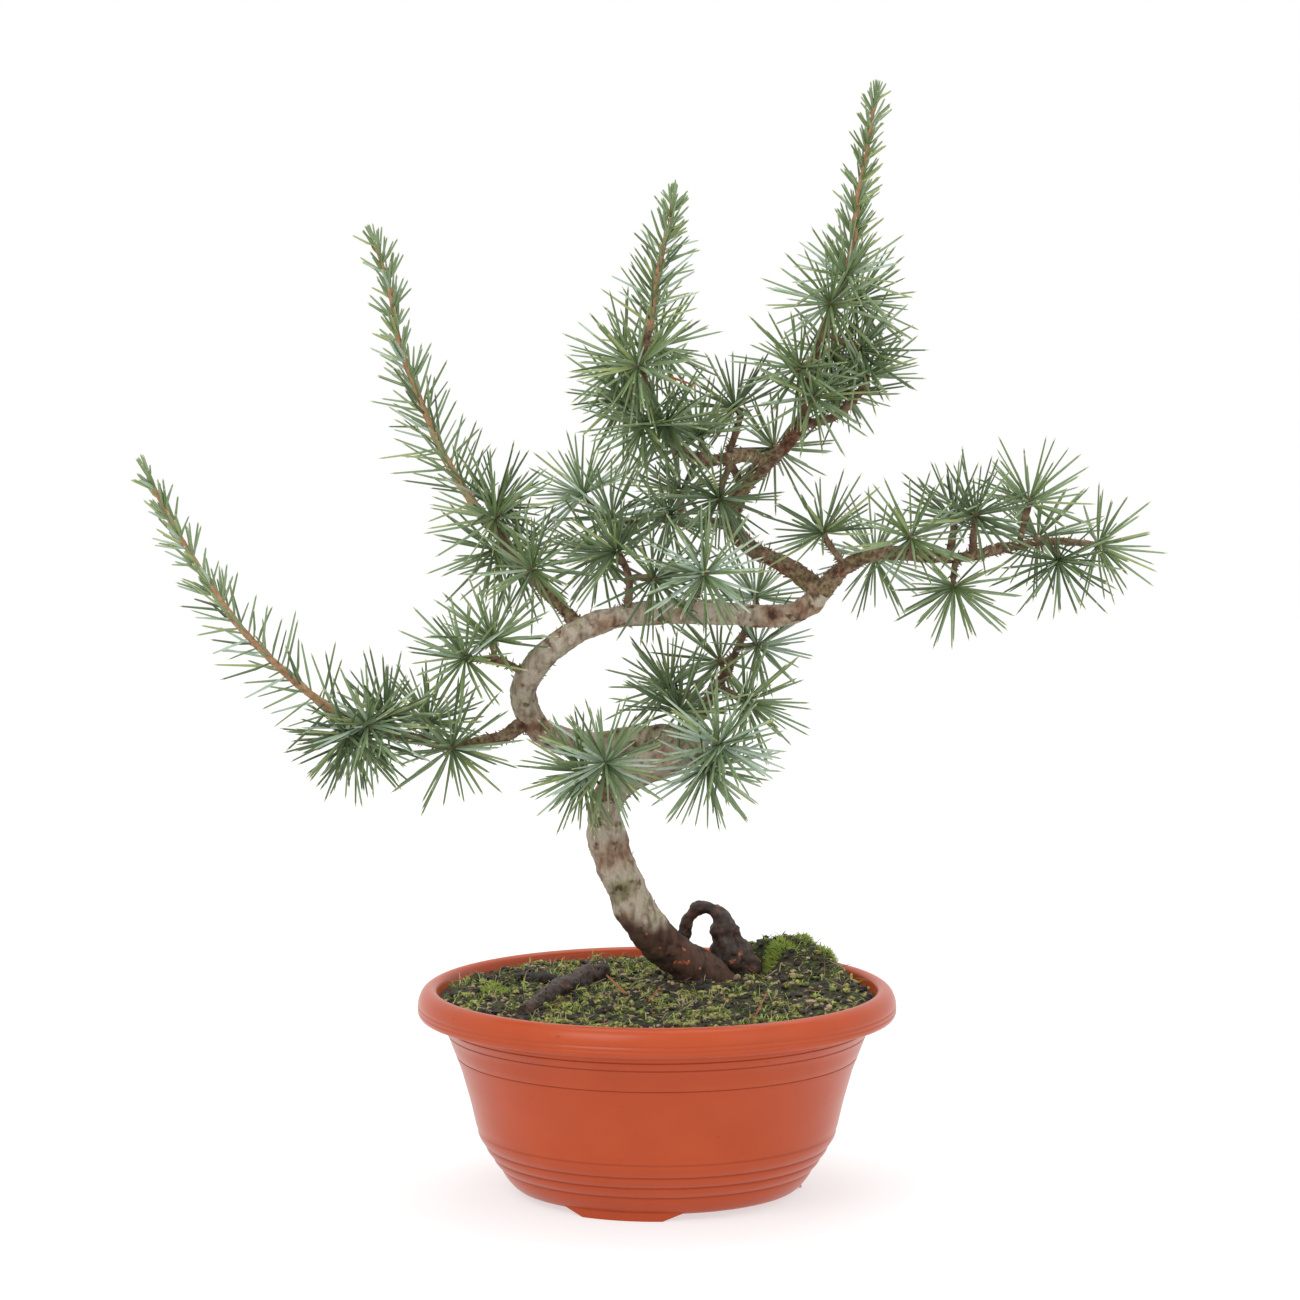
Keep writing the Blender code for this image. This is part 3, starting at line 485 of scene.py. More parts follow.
# The grass and litter: thin blades of grass and moss in tufts, dry fibres, reddish splinters of
# wood and bits of twig. They are rooted in the soil or lie on it.
GRASS_TUFTS = 1150
TUFT_BLADES = (3, 8)
TUFT_SPREAD = 1.8
TUFT_CHANCE = (-0.25, 0.3)
GRASSY = ((15, 0.12), (45, 0.1))
BLADE_LEAN = 0.8
BLADE_KINDS = ((1.4, 6.5, 0.2), (1.4, 6.5, 0.2), (3, 8, 0.15))
BLADE_BEND = 0.55
BLADE_TIP = 0.5
BLADE_DROOP = 0.6
BLADE_TAPER = 0.8
BLADE_SINK = 0.2
FIBRES = 150
FIBRE_LENGTH = (2, 7)
FIBRE_WIDTH = (0.12, 0.25)
STICK_FLAT = 0.7
STICK_TAPER = 0.5
SPLINTERS = (
    (-10.5, -8, 0.3, -18, -4, 7.5, 0.65), (-47, 24, 0.8, -41, 18, 0.8, 0.7),
    (-26, -66, 0.8, -17, -62, 1.0, 0.6), (33, -52, 0.4, 38, -49, 9.0, 0.5),
    (-3, -20, 0.3, 1, -16, 4.5, 0.5), (-37, -30, 0.8, -33, -26, 1.2, 0.6),
)
TWIG_BITS = (
    (4, 10, 0.8, 29, 7, 1.0, 0.35), (37, 34, 1.5, 47, 38, 2.5, 0.45), (11, -32, 0.5, 17, -36, 3.0, 0.35),
)


def blade(skin, foot, way, length, width, index):
    """One thin moss or grass blade, three-sided and bent over at its middle."""
    side = way.cross(Vector((0, 0, 1))).normalized() * width
    back = way.cross(side).normalized() * width
    mid = foot + way * length * BLADE_BEND
    tip = mid + (way + Vector((way.x, way.y, -BLADE_DROOP))).normalized() * length * BLADE_TIP
    low = [foot + out for out in (-side, side, back)]
    high = [mid + out * BLADE_TAPER for out in (-side, side, back)]
    skin.add([tuple(p) for p in [*low, *high, tip]], tube_faces(2, 3, pointed=True), index)


def stick(skin, start, end, width, index):
    """A straight splinter or scale, four-sided and thinner at its tip."""
    along = (end - start).normalized()
    side = along.orthogonal().normalized() * width
    other = along.cross(side) * STICK_FLAT
    points = []
    for at, thick in ((start, 1), (end, STICK_TAPER)):
        points += [tuple(at + thick * turn) for turn in (side, other, -side, -other)]
    skin.add(points, tube_faces(2, 4), index)


moss_light = two_tone("moss, light", (0.22, 0.31, 0.04), (0.38, 0.46, 0.10), 300, 0.8)
straw = two_tone("dry fibres", (0.26, 0.19, 0.11), (0.44, 0.36, 0.23), 300, 0.85)
splinter = two_tone("splinters", (0.24, 0.075, 0.028), (0.43, 0.19, 0.085), 700, 0.8, 0.0002)
LIGHT, DARK, STRAW, SPLINTER, TWIG = range(5)

growth = Skin()
for _ in range(GRASS_TUFTS):
    x, y = on_soil(chance, edge - 2.5)
    (back, more), (right, less) = GRASSY
    if mossiness(x, y) + more * (y > back) - less * (x > right) < chance.uniform(*TUFT_CHANCE):
        continue
    kind = chance.choice((LIGHT, LIGHT, DARK, DARK, STRAW))
    for _ in range(chance.randint(*TUFT_BLADES)):
        bx, by = x + chance.gauss(0, TUFT_SPREAD), y + chance.gauss(0, TUFT_SPREAD)
        if math.hypot(bx, by) > edge - 1:
            continue
        leaning = chance.gauss(0, BLADE_LEAN), chance.gauss(0, BLADE_LEAN)
        way = Vector((*leaning, chance.uniform(0.4, 1))).normalized()
        shortest, longest, width = BLADE_KINDS[kind]
        length = chance.uniform(shortest, longest)
        blade(growth, over_soil(bx, by, -BLADE_SINK), way, length, width, kind)
for litter, index in ((SPLINTERS, SPLINTER), (TWIG_BITS, TWIG)):
    for x, y, low, far_x, far_y, high, width in litter:
        stick(growth, over_soil(x, y, low), over_soil(far_x, far_y, high), width, index)
for _ in range(FIBRES):
    x, y = on_soil(chance, edge - 8)
    turn, length = chance.uniform(0, math.tau), chance.uniform(*FIBRE_LENGTH)
    far_x, far_y = x + length * math.cos(turn), y + length * math.sin(turn)
    far = over_soil(far_x, far_y, chance.uniform(0.3, 2.5))
    width = chance.uniform(*FIBRE_WIDTH)
    stick(growth, over_soil(x, y, 0.4), far, width, chance.choice((STRAW, STRAW, SPLINTER, TWIG)))
growth.finish("moss_and_seedlings", [moss_light, moss_dark, straw, splinter, chips], [], "soil")


# The moss cushions: five low domes on the heap and the soil, each a mat of short bright blades
# that stand close together and lean this way and that. The blades' sizes are in metres.
CUSHIONS = ((44, 31, 6.0), (55, 45, 6.0), (62, 33, 4.0), (-58, 2, 5.0), (2, 50, 6.0))
CUSHION_LIFT = 2.4
CUSHION_SINK = 0.6
CUSHION_RINGS = 6
CUSHION_TURNS = 20
CUSHION_SIZES = {
    "Blades a square metre": 2.8e6, "Length": 0.0019, "Half width": 0.0003, "Lean": 0.6, "Seed": SEED,
}
LEAST_STRETCH = (0.8, 0.8, 0.55)
MOST_STRETCH = (1.2, 1.2, 1.35)


def blade_tree(name, material):
    """A node tree that stands pointed blades all over a surface, leaning this way and that."""
    tree = bpy.data.node_groups.new(name, "GeometryNodeTree")
    for socket, kind in {
        "Surface": "Geometry", "Blades a square metre": "Float", "Length": "Float",
        "Half width": "Float", "Lean": "Float", "Seed": "Int",
    }.items():
        tree.interface.new_socket(socket, in_out="INPUT", socket_type=f"NodeSocket{kind}")
    tree.interface.new_socket("Blades", in_out="OUTPUT", socket_type="NodeSocketGeometry")
    given = tree.nodes.new("NodeGroupInput").outputs

    def drawn_vector(least, greatest):
        """A vector drawn for each blade between these two."""
        return wired(tree, "FunctionNodeRandomValue", {
            0: least, 1: greatest, "Seed": given["Seed"],
        }, data_type="FLOAT_VECTOR").outputs[0]

    scatter = wired(tree, "GeometryNodeDistributePointsOnFaces", {
        "Mesh": given["Surface"], "Density": given["Blades a square metre"], "Seed": given["Seed"],
    }).outputs
    point = wired(tree, "GeometryNodeMeshCone", {
        "Vertices": 3, "Radius Bottom": given["Half width"], "Depth": given["Length"],
    })
    most = wired(tree, "ShaderNodeCombineXYZ", {"X": given["Lean"], "Y": given["Lean"], "Z": math.pi})
    turn = wired(tree, "ShaderNodeVectorMath", {
        0: drawn_vector((-1, -1, -1), (1, 1, 1)), 1: most.outputs[0],
    }, operation="MULTIPLY")
    lean = wired(tree, "FunctionNodeRotateRotation", {
        0: scatter["Rotation"], 1: turn.outputs[0],
    }, rotation_space="LOCAL")
    stand = wired(tree, "GeometryNodeInstanceOnPoints", {
        "Points": scatter["Points"], "Instance": point.outputs["Mesh"], "Rotation": lean.outputs[0],
        "Scale": drawn_vector(LEAST_STRETCH, MOST_STRETCH),
    })
    real = wired(tree, "GeometryNodeRealizeInstances", {0: stand.outputs[0]})
    coloured = wired(tree, "GeometryNodeSetMaterial", {
        "Geometry": real.outputs[0], "Material": material,
    })
    wired(tree, "NodeGroupOutput", {0: coloured.outputs[0]})
    return tree


def grown(name, carrier, tree, sizes):
    """The plain mesh that a tree makes over a carrier's mesh, with its sizes set by name."""
    base = bpy.data.objects.new(f"{name} carrier", carrier)
    bpy.context.collection.objects.link(base)
    modifier = base.modifiers.new(name, "NODES")
    modifier.node_group = tree
    for socket in tree.interface.items_tree:
        if socket.name in sizes:
            modifier[socket.identifier] = sizes[socket.name]
    mesh = bpy.data.meshes.new_from_object(base.evaluated_get(bpy.context.evaluated_depsgraph_get()))
    base.modifiers.clear()
    bpy.data.objects.remove(base)
    return mesh


def cushion(x, y, reach):
    """One low dome on the soil, kept clear of the pot's wall."""
    points = [over_soil(x, y, CUSHION_LIFT - CUSHION_SINK)]
    for ring in range(1, CUSHION_RINGS + 1):
        share = ring / CUSHION_RINGS
        for k in range(CUSHION_TURNS):
            turn = math.tau * k / CUSHION_TURNS
            bx, by = x + reach * share * math.cos(turn), y + reach * share * math.sin(turn)
            inside = min(1.0, (edge - 1) / math.hypot(bx, by))
            lift = (1 - share) * CUSHION_LIFT - CUSHION_SINK
            points.append(over_soil(bx * inside, by * inside, lift))
    return points, disc_faces(CUSHION_RINGS, CUSHION_TURNS)


domes = Skin()
for place in CUSHIONS:
    domes.add(*cushion(*place))
moss_mesh = grown("moss", domes.mesh("moss domes"), blade_tree("moss blades", moss_light), CUSHION_SIZES)
fit_piece("moss_cushions", moss_mesh, [])


# The roots and the trunk: one trunk with flaking grey bark, olive algae and a dark foot, the
# knob with its thin arching root, and a bare root that lies on the soil. The CAD steps are the
# solids' own, so that whatever grows out of a limb starts where theirs does.
BARK_STEP = 0.9
CAD_TRUNK_STEP = 6.0
CAD_KNOB_STEP = 4.0
CAD_LYING_STEP = 9.0
TRUNK_RADII = (6.7, 3.7)
TRUNK_TAPER = 1.6
TRUNK_NECK = (0.55, 15.0)
TRUNK_SWELL = (60.0, 32.0, 0.20)
TRUNK_FULLER = 1.04
TRUNK_KNUCKLES = (0.96, 1.04)
TRUNK = (
    (29, 21, 68), (18, 18, 75), (9, 15, 80.5), (0, 11, 88.5), (-8, 7, 100), (-14, 5, 115),
    (-18.5, 5, 130), (-17, 5, 141), (-10, 2, 148.5), (1, -1, 153.5), (9, 0, 156.5),
    (13, 5, 159), (7, 11, 160.5), (-7, 13.5, 160), (-24, 14, 158), (-39, 10, 162),
    (-46, 6, 171), (-47, 2, 181), (-40, -2, 192), (-29, -3, 200), (-20, -2, 204),
    (-2, 2, 207), (22, 8, 206), (44, 10, 205), (54, 8, 209), (59, 6, 215),
)
KNOB = (
    (29.5, 31, 72), (27.5, 29.5, 80), (26, 28, 87), (23.5, 27, 94), (17, 27.5, 97),
    (12, 29, 93), (10, 31, 86), (9.5, 32, 79), (9.5, 33, 72),
)
KNOB_RADII = (6.4, 1.9)
KNOB_FALL = (0.42, 0.8)
KNOB_SHARES = (0.0, 0.10, 0.22, 0.34, 0.46, 1.0)
KNOB_WIDTHS = (7.6, 7.2, 6.0, 4.3, 2.5, 2.0)
KNOB_LOBE = ((34, 27, 69), (33, 26, 77), (30.5, 26.5, 84), (27.5, 27.5, 90))
LOBE_RADII = (4.8, 2.2)
LYING_ROOT = ((-20, 26), (-27, 17), (-37, -8), (-46, -43))
LYING_RADII = (4.3, 2.2)
LYING_LIFT = 0.35
TRUNK_SIDES = 48
TRUNK_RELIEF = (0.15, 0.36)
TRUNK_SUNK = 1.5
TRUNK_FLAKES = 260
FIRST_FLAKE = 40
KNOB_SIDES = 40
LOBE_SIDES = 30
KNOB_RELIEF = (0.5, 0.5)
KNOB_STEP = 0.7
LYING_SIDES = 30
LYING_RELIEF = (0.3, 0.6)
LYING_STEP = 0.8
LYING_FLAKES = 60
SWELL_GRAIN = (9, 4)
CRACK_GRAIN = (1.7, 0.8)
CRACK_DEPTH = 0.8
FOOT_SCARS = (
    (9, 80.5, 3.0, 0.8), (1, 86, 0.6, 0.5), (9.5, 85, 0.9, 0.4), (16, 78, 0.7, 0.4), (-3, 92, 0.7, 0.4),
)
KNOB_SCARS = ((27.5, 78.5, 0.9, 0.9), (30, 81, 0.9, 0.6))
FLAKE_LENGTH = (0.7, 1.9)
FLAKE_WIDTH = (0.2, 0.45)
FLAKE_LEAN = (0.3, 1.2)
FLAKE_ROOT = 0.3

rods = {}
ends = {}


def frames_along(path):
    """A pair of cross directions at each point, turned no more than the path itself."""
    tangents = np.gradient(path, axis=0)
    side = Vector(tangents[0]).orthogonal().normalized()
    pairs = []
    for t in tangents:
        t = Vector(t).normalized()
        side = (side - side.dot(t) * t).normalized()
        pairs.append((side, t.cross(side)))
    return pairs


def between(u, v, turn):
    """The way that is turned this far from u towards v."""
    return math.cos(turn) * u + math.sin(turn) * v


def trunk_radii(path):
    """Widest just above the soil, narrower where the foot dives under, then a long taper."""
    share = np.linspace(0, 1, len(path))
    radii = TRUNK_RADII[1] + (TRUNK_RADII[0] - TRUNK_RADII[1]) * (1 - share) ** TRUNK_TAPER
    thin, reach = TRUNK_NECK
    neck = np.array([smooth_step(walked / reach) for walked in distances(path)])
    uneven = random.Random(SEED)
    knuckles = np.array([uneven.uniform(*TRUNK_KNUCKLES) for _ in path])
    return radii * (thin + (1 - thin) * neck) * knuckles


def note_limb(name, path, radii):
    """Notes where a limb runs, as rods, and where it ends, for whatever grows later."""
    rods[name] = [(*a, *b, radius) for a, b, radius in zip(path, path[1:], radii)]
    ends[name] = (path[-1], Vector(path[-1] - path[-2]).normalized())


def bark_tube(skin, path, radii, sides, relief, index=0, cut=None):
    """A limb's skin: a tube pushed in and out by swellings, as a share of its radius, and by
    bark plates, in millimetres."""
    lumps, plates = relief
    (broad, finer), (plate, crumb) = SWELL_GRAIN, CRACK_GRAIN
    points = []
    for place, pair, radius in zip(path, frames_along(path), radii):
        radius = float(radius)
        for k in range(sides):
            out = between(*pair, math.tau * k / sides)
            at = Vector(place) + radius * out
            swell = (noise.noise(at / broad) + 0.5 * noise.noise(at / finer)) * lumps * radius
            crack = noise.noise(at / plate) + 0.6 * noise.noise(at / crumb)
            at += (swell + plates * max(-CRACK_DEPTH, crack)) * out
            if cut is not None:
                at.z = max(at.z, cut)
            points.append(tuple(at))
    skin.add(points, tube_faces(len(path), sides), index)


def add_flakes(skin, path, radii, number, chance):
    """Small scales of bark that stand off the limb and point along it."""
    tangents = np.gradient(path, axis=0)
    pairs = frames_along(path)
    for _ in range(round(number)):
        k = chance.randrange(len(path) - 1)
        out = between(*pairs[k], chance.uniform(0, math.tau))
        root = Vector(path[k]) + (float(radii[k]) - FLAKE_ROOT) * out
        way = (out + chance.uniform(*FLAKE_LEAN) * Vector(tangents[k]).normalized()).normalized()
        tip = root + chance.uniform(*FLAKE_LENGTH) * way
        stick(skin, root, tip, chance.uniform(*FLAKE_WIDTH), 0)


def mark_scars(skin, scars, index):
    """Deals the scar's material to the front faces within each ellipse of width and height."""
    points = np.array(skin.points)
    for number, face in enumerate(skin.faces):
        if len(face) != 4:
            continue
        x, y, z = points[list(face)].mean(axis=0)
        ragged = 1 + 0.5 * noise.noise((x, y, z))
        out = np.cross(points[face[2]] - points[face[0]], points[face[3]] - points[face[1]])
        for at_x, at_z, half_width, half_height in scars:
            off = ((x - at_x) / half_width) ** 2 + ((z - at_z) / half_height) ** 2
            if off < ragged and out[1] < 0:
                skin.indices[number] = index


def spread_radii(radii, count):
    """The same run of radii at another number of even places."""
    return np.interp(np.linspace(0, 1, count), np.linspace(0, 1, len(radii)), radii)


bark = surface("bark", (
    (0.32, (0.20, 0.15, 0.11)), (0.44, (0.33, 0.27, 0.205)),
    (0.56, (0.45, 0.385, 0.31)), (0.70, (0.35, 0.30, 0.23)),
), 420, 0.85, 0.0008, stretch=(1, 1, 0.45))
patches(bark, 70, (
    (0.32, (0.50, 0.30, 0.22)), (0.42, (0.95, 0.84, 0.76)), (0.50, (1, 1, 1)),
    (0.58, (0.95, 0.97, 0.88)), (0.65, (0.52, 0.55, 0.34)),
))
patches(bark, 210, ((0.33, (0.28, 0.22, 0.17)), (0.385, (0.8, 0.76, 0.72)), (0.44, (1, 1, 1))))
shade_by_height(bark, [
    (0.0, (0.17, 0.095, 0.075)), (0.099, (0.21, 0.12, 0.09)), (0.103, (1, 1, 1)),
], top=0.4, ragged=0.012)
damp_bark = surface("root bark", (
    (0.32, (0.014, 0.009, 0.007)), (0.55, (0.055, 0.032, 0.022)),
    (0.70, (0.10, 0.065, 0.045)), (0.78, (0.16, 0.10, 0.07)),
), 420, 0.62, 0.0009)
patches(damp_bark, 130, ((0.38, (0.75, 0.7, 0.7)), (0.52, (1, 1, 1)), (0.66, (1.5, 1.0, 0.85))))
scar = surface("scar", (
    (0.3, (0.07, 0.02, 0.01)), (0.52, (0.33, 0.085, 0.03)), (0.68, (0.5, 0.19, 0.08)),
), 1100, 0.7)

cad_path = smooth_path(TRUNK, CAD_TRUNK_STEP)
cad_radii = trunk_radii(cad_path)
note_limb("trunk", cad_path, cad_radii)
path = smooth_path(TRUNK, BARK_STEP)
trunk = Skin()
swell_at, swell_reach, swell_share = TRUNK_SWELL
walked = np.arange(len(path)) * BARK_STEP
swelling = TRUNK_FULLER + swell_share * np.exp(-((walked - swell_at) / swell_reach) ** 2)
full_radii = spread_radii(cad_radii, len(path)) * swelling
bark_tube(trunk, path, full_radii, TRUNK_SIDES, TRUNK_RELIEF, cut=FOOT_LEVEL - TRUNK_SUNK)
mark_scars(trunk, FOOT_SCARS, 1)
bare, bare_radii = path[FIRST_FLAKE:], full_radii[FIRST_FLAKE:]
add_flakes(trunk, bare, bare_radii, TRUNK_FLAKES, random.Random(f"{SEED} trunk"))
trunk.finish("trunk_bark", [bark, scar], ["trunk"], "bark")

path = smooth_path(KNOB, CAD_KNOB_STEP)
share = np.linspace(0, 1, len(path))
reach, fall = KNOB_FALL
wide, thin = KNOB_RADII
note_limb("root_loop", path, thin + (wide - thin) * np.clip(1 - share / reach, 0, 1) ** fall)
path = smooth_path(KNOB, KNOB_STEP)
knob = Skin()
widths = np.interp(np.linspace(0, 1, len(path)), KNOB_SHARES, KNOB_WIDTHS)
bark_tube(knob, path, widths, KNOB_SIDES, KNOB_RELIEF)
path = smooth_path(KNOB_LOBE, KNOB_STEP)
bark_tube(knob, path, np.linspace(*LOBE_RADII, len(path)), LOBE_SIDES, KNOB_RELIEF)
mark_scars(knob, KNOB_SCARS, 1)
knob.finish("knob_bark", [damp_bark, scar], ["root_loop"], "root_bark")

points = [(x, y, soil_height(x, y) + radius * LYING_LIFT)
          for (x, y), radius in zip(LYING_ROOT, np.linspace(*LYING_RADII, len(LYING_ROOT)))]
path = smooth_path(points, CAD_LYING_STEP)
note_limb("lying_root", path, np.linspace(*LYING_RADII, len(path)))
path = smooth_path(points, LYING_STEP)
radii = np.linspace(*LYING_RADII, len(path))
lying = Skin()
bark_tube(lying, path, radii, LYING_SIDES, LYING_RELIEF)
add_flakes(lying, path, radii, LYING_FLAKES, random.Random(f"{SEED} lying root"))
lying.finish("lying_root_bark", [damp_bark], ["lying_root"], "root_bark")


# The boughs: each grows out of the trunk or the leader with a small collar, tapers and ends
# where its needles begin.
COLLAR = (0.3, 4.0)
CAD_BOUGH_STEP = 7.2
FINE_STEP = 0.25
BOUGH_STEP = 0.72
BOUGH_SIDES = 26
BOUGH_RELIEF = (0.28, 0.5)
FLAKES_A_MM = 2.2
BOUGHS = {
    "leader": ("trunk", (
        (59, 6, 213), (51, 10, 220), (41, 14, 225), (31, 18, 231), (27, 20, 239),
        (30, 20, 249), (39, 18, 259), (48, 16, 268), (52, 16, 276)), 3.4, 2.4),
    "right_bough": ("trunk", (
        (59, 6, 215), (64, 2, 221), (71, -3, 226), (79, -6, 229), (92, -8, 228),
        (107, -6, 227), (121, -2, 230)), 2.9, 1.7),
    "upper_left_bough": ("leader", (
        (39, 18, 259), (32, 9, 262.5), (18, -2, 261), (8, -8, 265), (1, -12, 273)), 2.3, 2.0),
    "inner_left_bough": ("leader", (
        (27, 20, 238), (13, 26, 237), (-2, 30, 239), (-12, 31, 236)), 1.9, 1.5),
    "low_left_bough": ("trunk", (
        (-46, 6, 168), (-55, 4, 162), (-62, 2, 161), (-68, -1, 160)), 2.4, 2.1),
    "left_bough": ("trunk", (
        (-27, -3, 200), (-31, 1, 206), (-35, 4, 210), (-40, 8, 214)), 2.4, 2.1),
    "lower_right_bough": ("trunk", (
        (10, 9, 160), (11, 15, 164), (16, 22, 168), (20, 27, 175), (26, 31, 184)), 2.2, 1.7),
}


def least_gap(a, b, others):
    """The least gap between the straight line from a to b and these rods."""
    others = np.array(others)
    p1, d1 = np.array(a), np.array(b) - np.array(a)
    p2, d2 = others[:, :3], others[:, 3:6] - others[:, :3]
    r = p1 - p2
    aa, ee = max(d1 @ d1, 1e-9), np.maximum((d2 * d2).sum(1), 1e-9)
    bb, cc, ff = d2 @ d1, r @ d1, (d2 * r).sum(1)
    denominator = aa * ee - bb * bb
    s = (bb * ff - cc * ee) / np.maximum(denominator, 1e-9)
    s = np.clip(np.where(denominator > 1e-9, s, 0), 0, 1)
    t = np.clip((bb * s + ff) / ee, 0, 1)
    s = np.clip((bb * t - cc) / aa, 0, 1)
    apart = np.linalg.norm(r + s[:, None] * d1 - t[:, None] * d2, axis=1)
    return float((apart - others[:, 6]).min())


def start_clear(path, radius, carrier):
    """Cuts the path's start back until its flat end is clear of the carrier's surface."""
    for k, pair in enumerate(frames_along(path)):
        middle = Vector(path[k])
        ring = [middle + radius * between(*pair, math.tau * j / 8) for j in range(8)]
        if min(least_gap(point, point, rods[carrier]) for point in [*ring, middle]) >= GAP:
            return path[k:]
    return path


def limb_path(points, carrier, radius, step):
    """A limb's path from its joint: clear of its carrier's side, or just past its end."""
    fine = smooth_path(points, FINE_STEP)
    if carrier.endswith("+"):
        end, along = ends[carrier[:-1]]
        fine = fine + (end - fine[0])
        u, v = frames_along(fine)[0]
        back = radius * math.hypot(u.dot(along), v.dot(along))
        fine = fine + (GAP + back) * np.array(along)
    else:
        fine = start_clear(fine, radius, carrier)
    walked = np.linspace(0, len(fine) - 1, max(2, round(len(fine) * FINE_STEP / step) + 1))
    return fine[np.round(walked).astype(int)]


bough_bark = surface("bough bark", (
    (0.3, (0.05, 0.028, 0.018)), (0.46, (0.16, 0.10, 0.062)),
    (0.60, (0.30, 0.215, 0.15)), (0.74, (0.19, 0.165, 0.09)),
), 520, 0.85, 0.0010)
patches(bough_bark, 110, ((0.34, (0.75, 0.45, 0.33)), (0.44, (1, 0.95, 0.9)), (0.60, (0.85, 0.9, 0.62))))

for name, (carrier, points, start, end) in BOUGHS.items():
    path = limb_path(points, carrier, start, CAD_BOUGH_STEP)
    note_limb(name, path, np.linspace(start, end, len(path)))
    whole = smooth_path(points, BOUGH_STEP)
    collar = 1 + COLLAR[0] * np.exp(-np.arange(len(whole)) * BOUGH_STEP / COLLAR[1])
    radii = np.linspace(start, end, len(whole)) * collar
    bough = Skin()
    bark_tube(bough, whole, radii, BOUGH_SIDES, BOUGH_RELIEF)
    number = FLAKES_A_MM * BARK_STEP * len(whole)
    add_flakes(bough, whole, radii, number, random.Random(f"{SEED} flakes {name}"))
    bough.finish(f"{name}_bark", [bough_bark], [name], "bark")


# The needles: flat blue-green blades. Each twig carries short spurs by the same seeded rule as
# the solids, each spur ends in a bud with a full rosette about it, and needles stand singly or
# in small bunches round the young shoots.
LEFT, RIGHT = Vector((-1, 0, 0)), Vector((1, 0, 0))
FRONT, BACK = Vector((0, -1, 0)), Vector((0, 1, 0))
UP, DOWN = Vector((0, 0, 1)), Vector((0, 0, -1))


def one_rosette(carrier, points, way, stalk, start=1.4, end=1.2):
    """A short twig with one rosette, at its end."""
    return carrier, points, start, end, ((1.0, way, stalk),), None


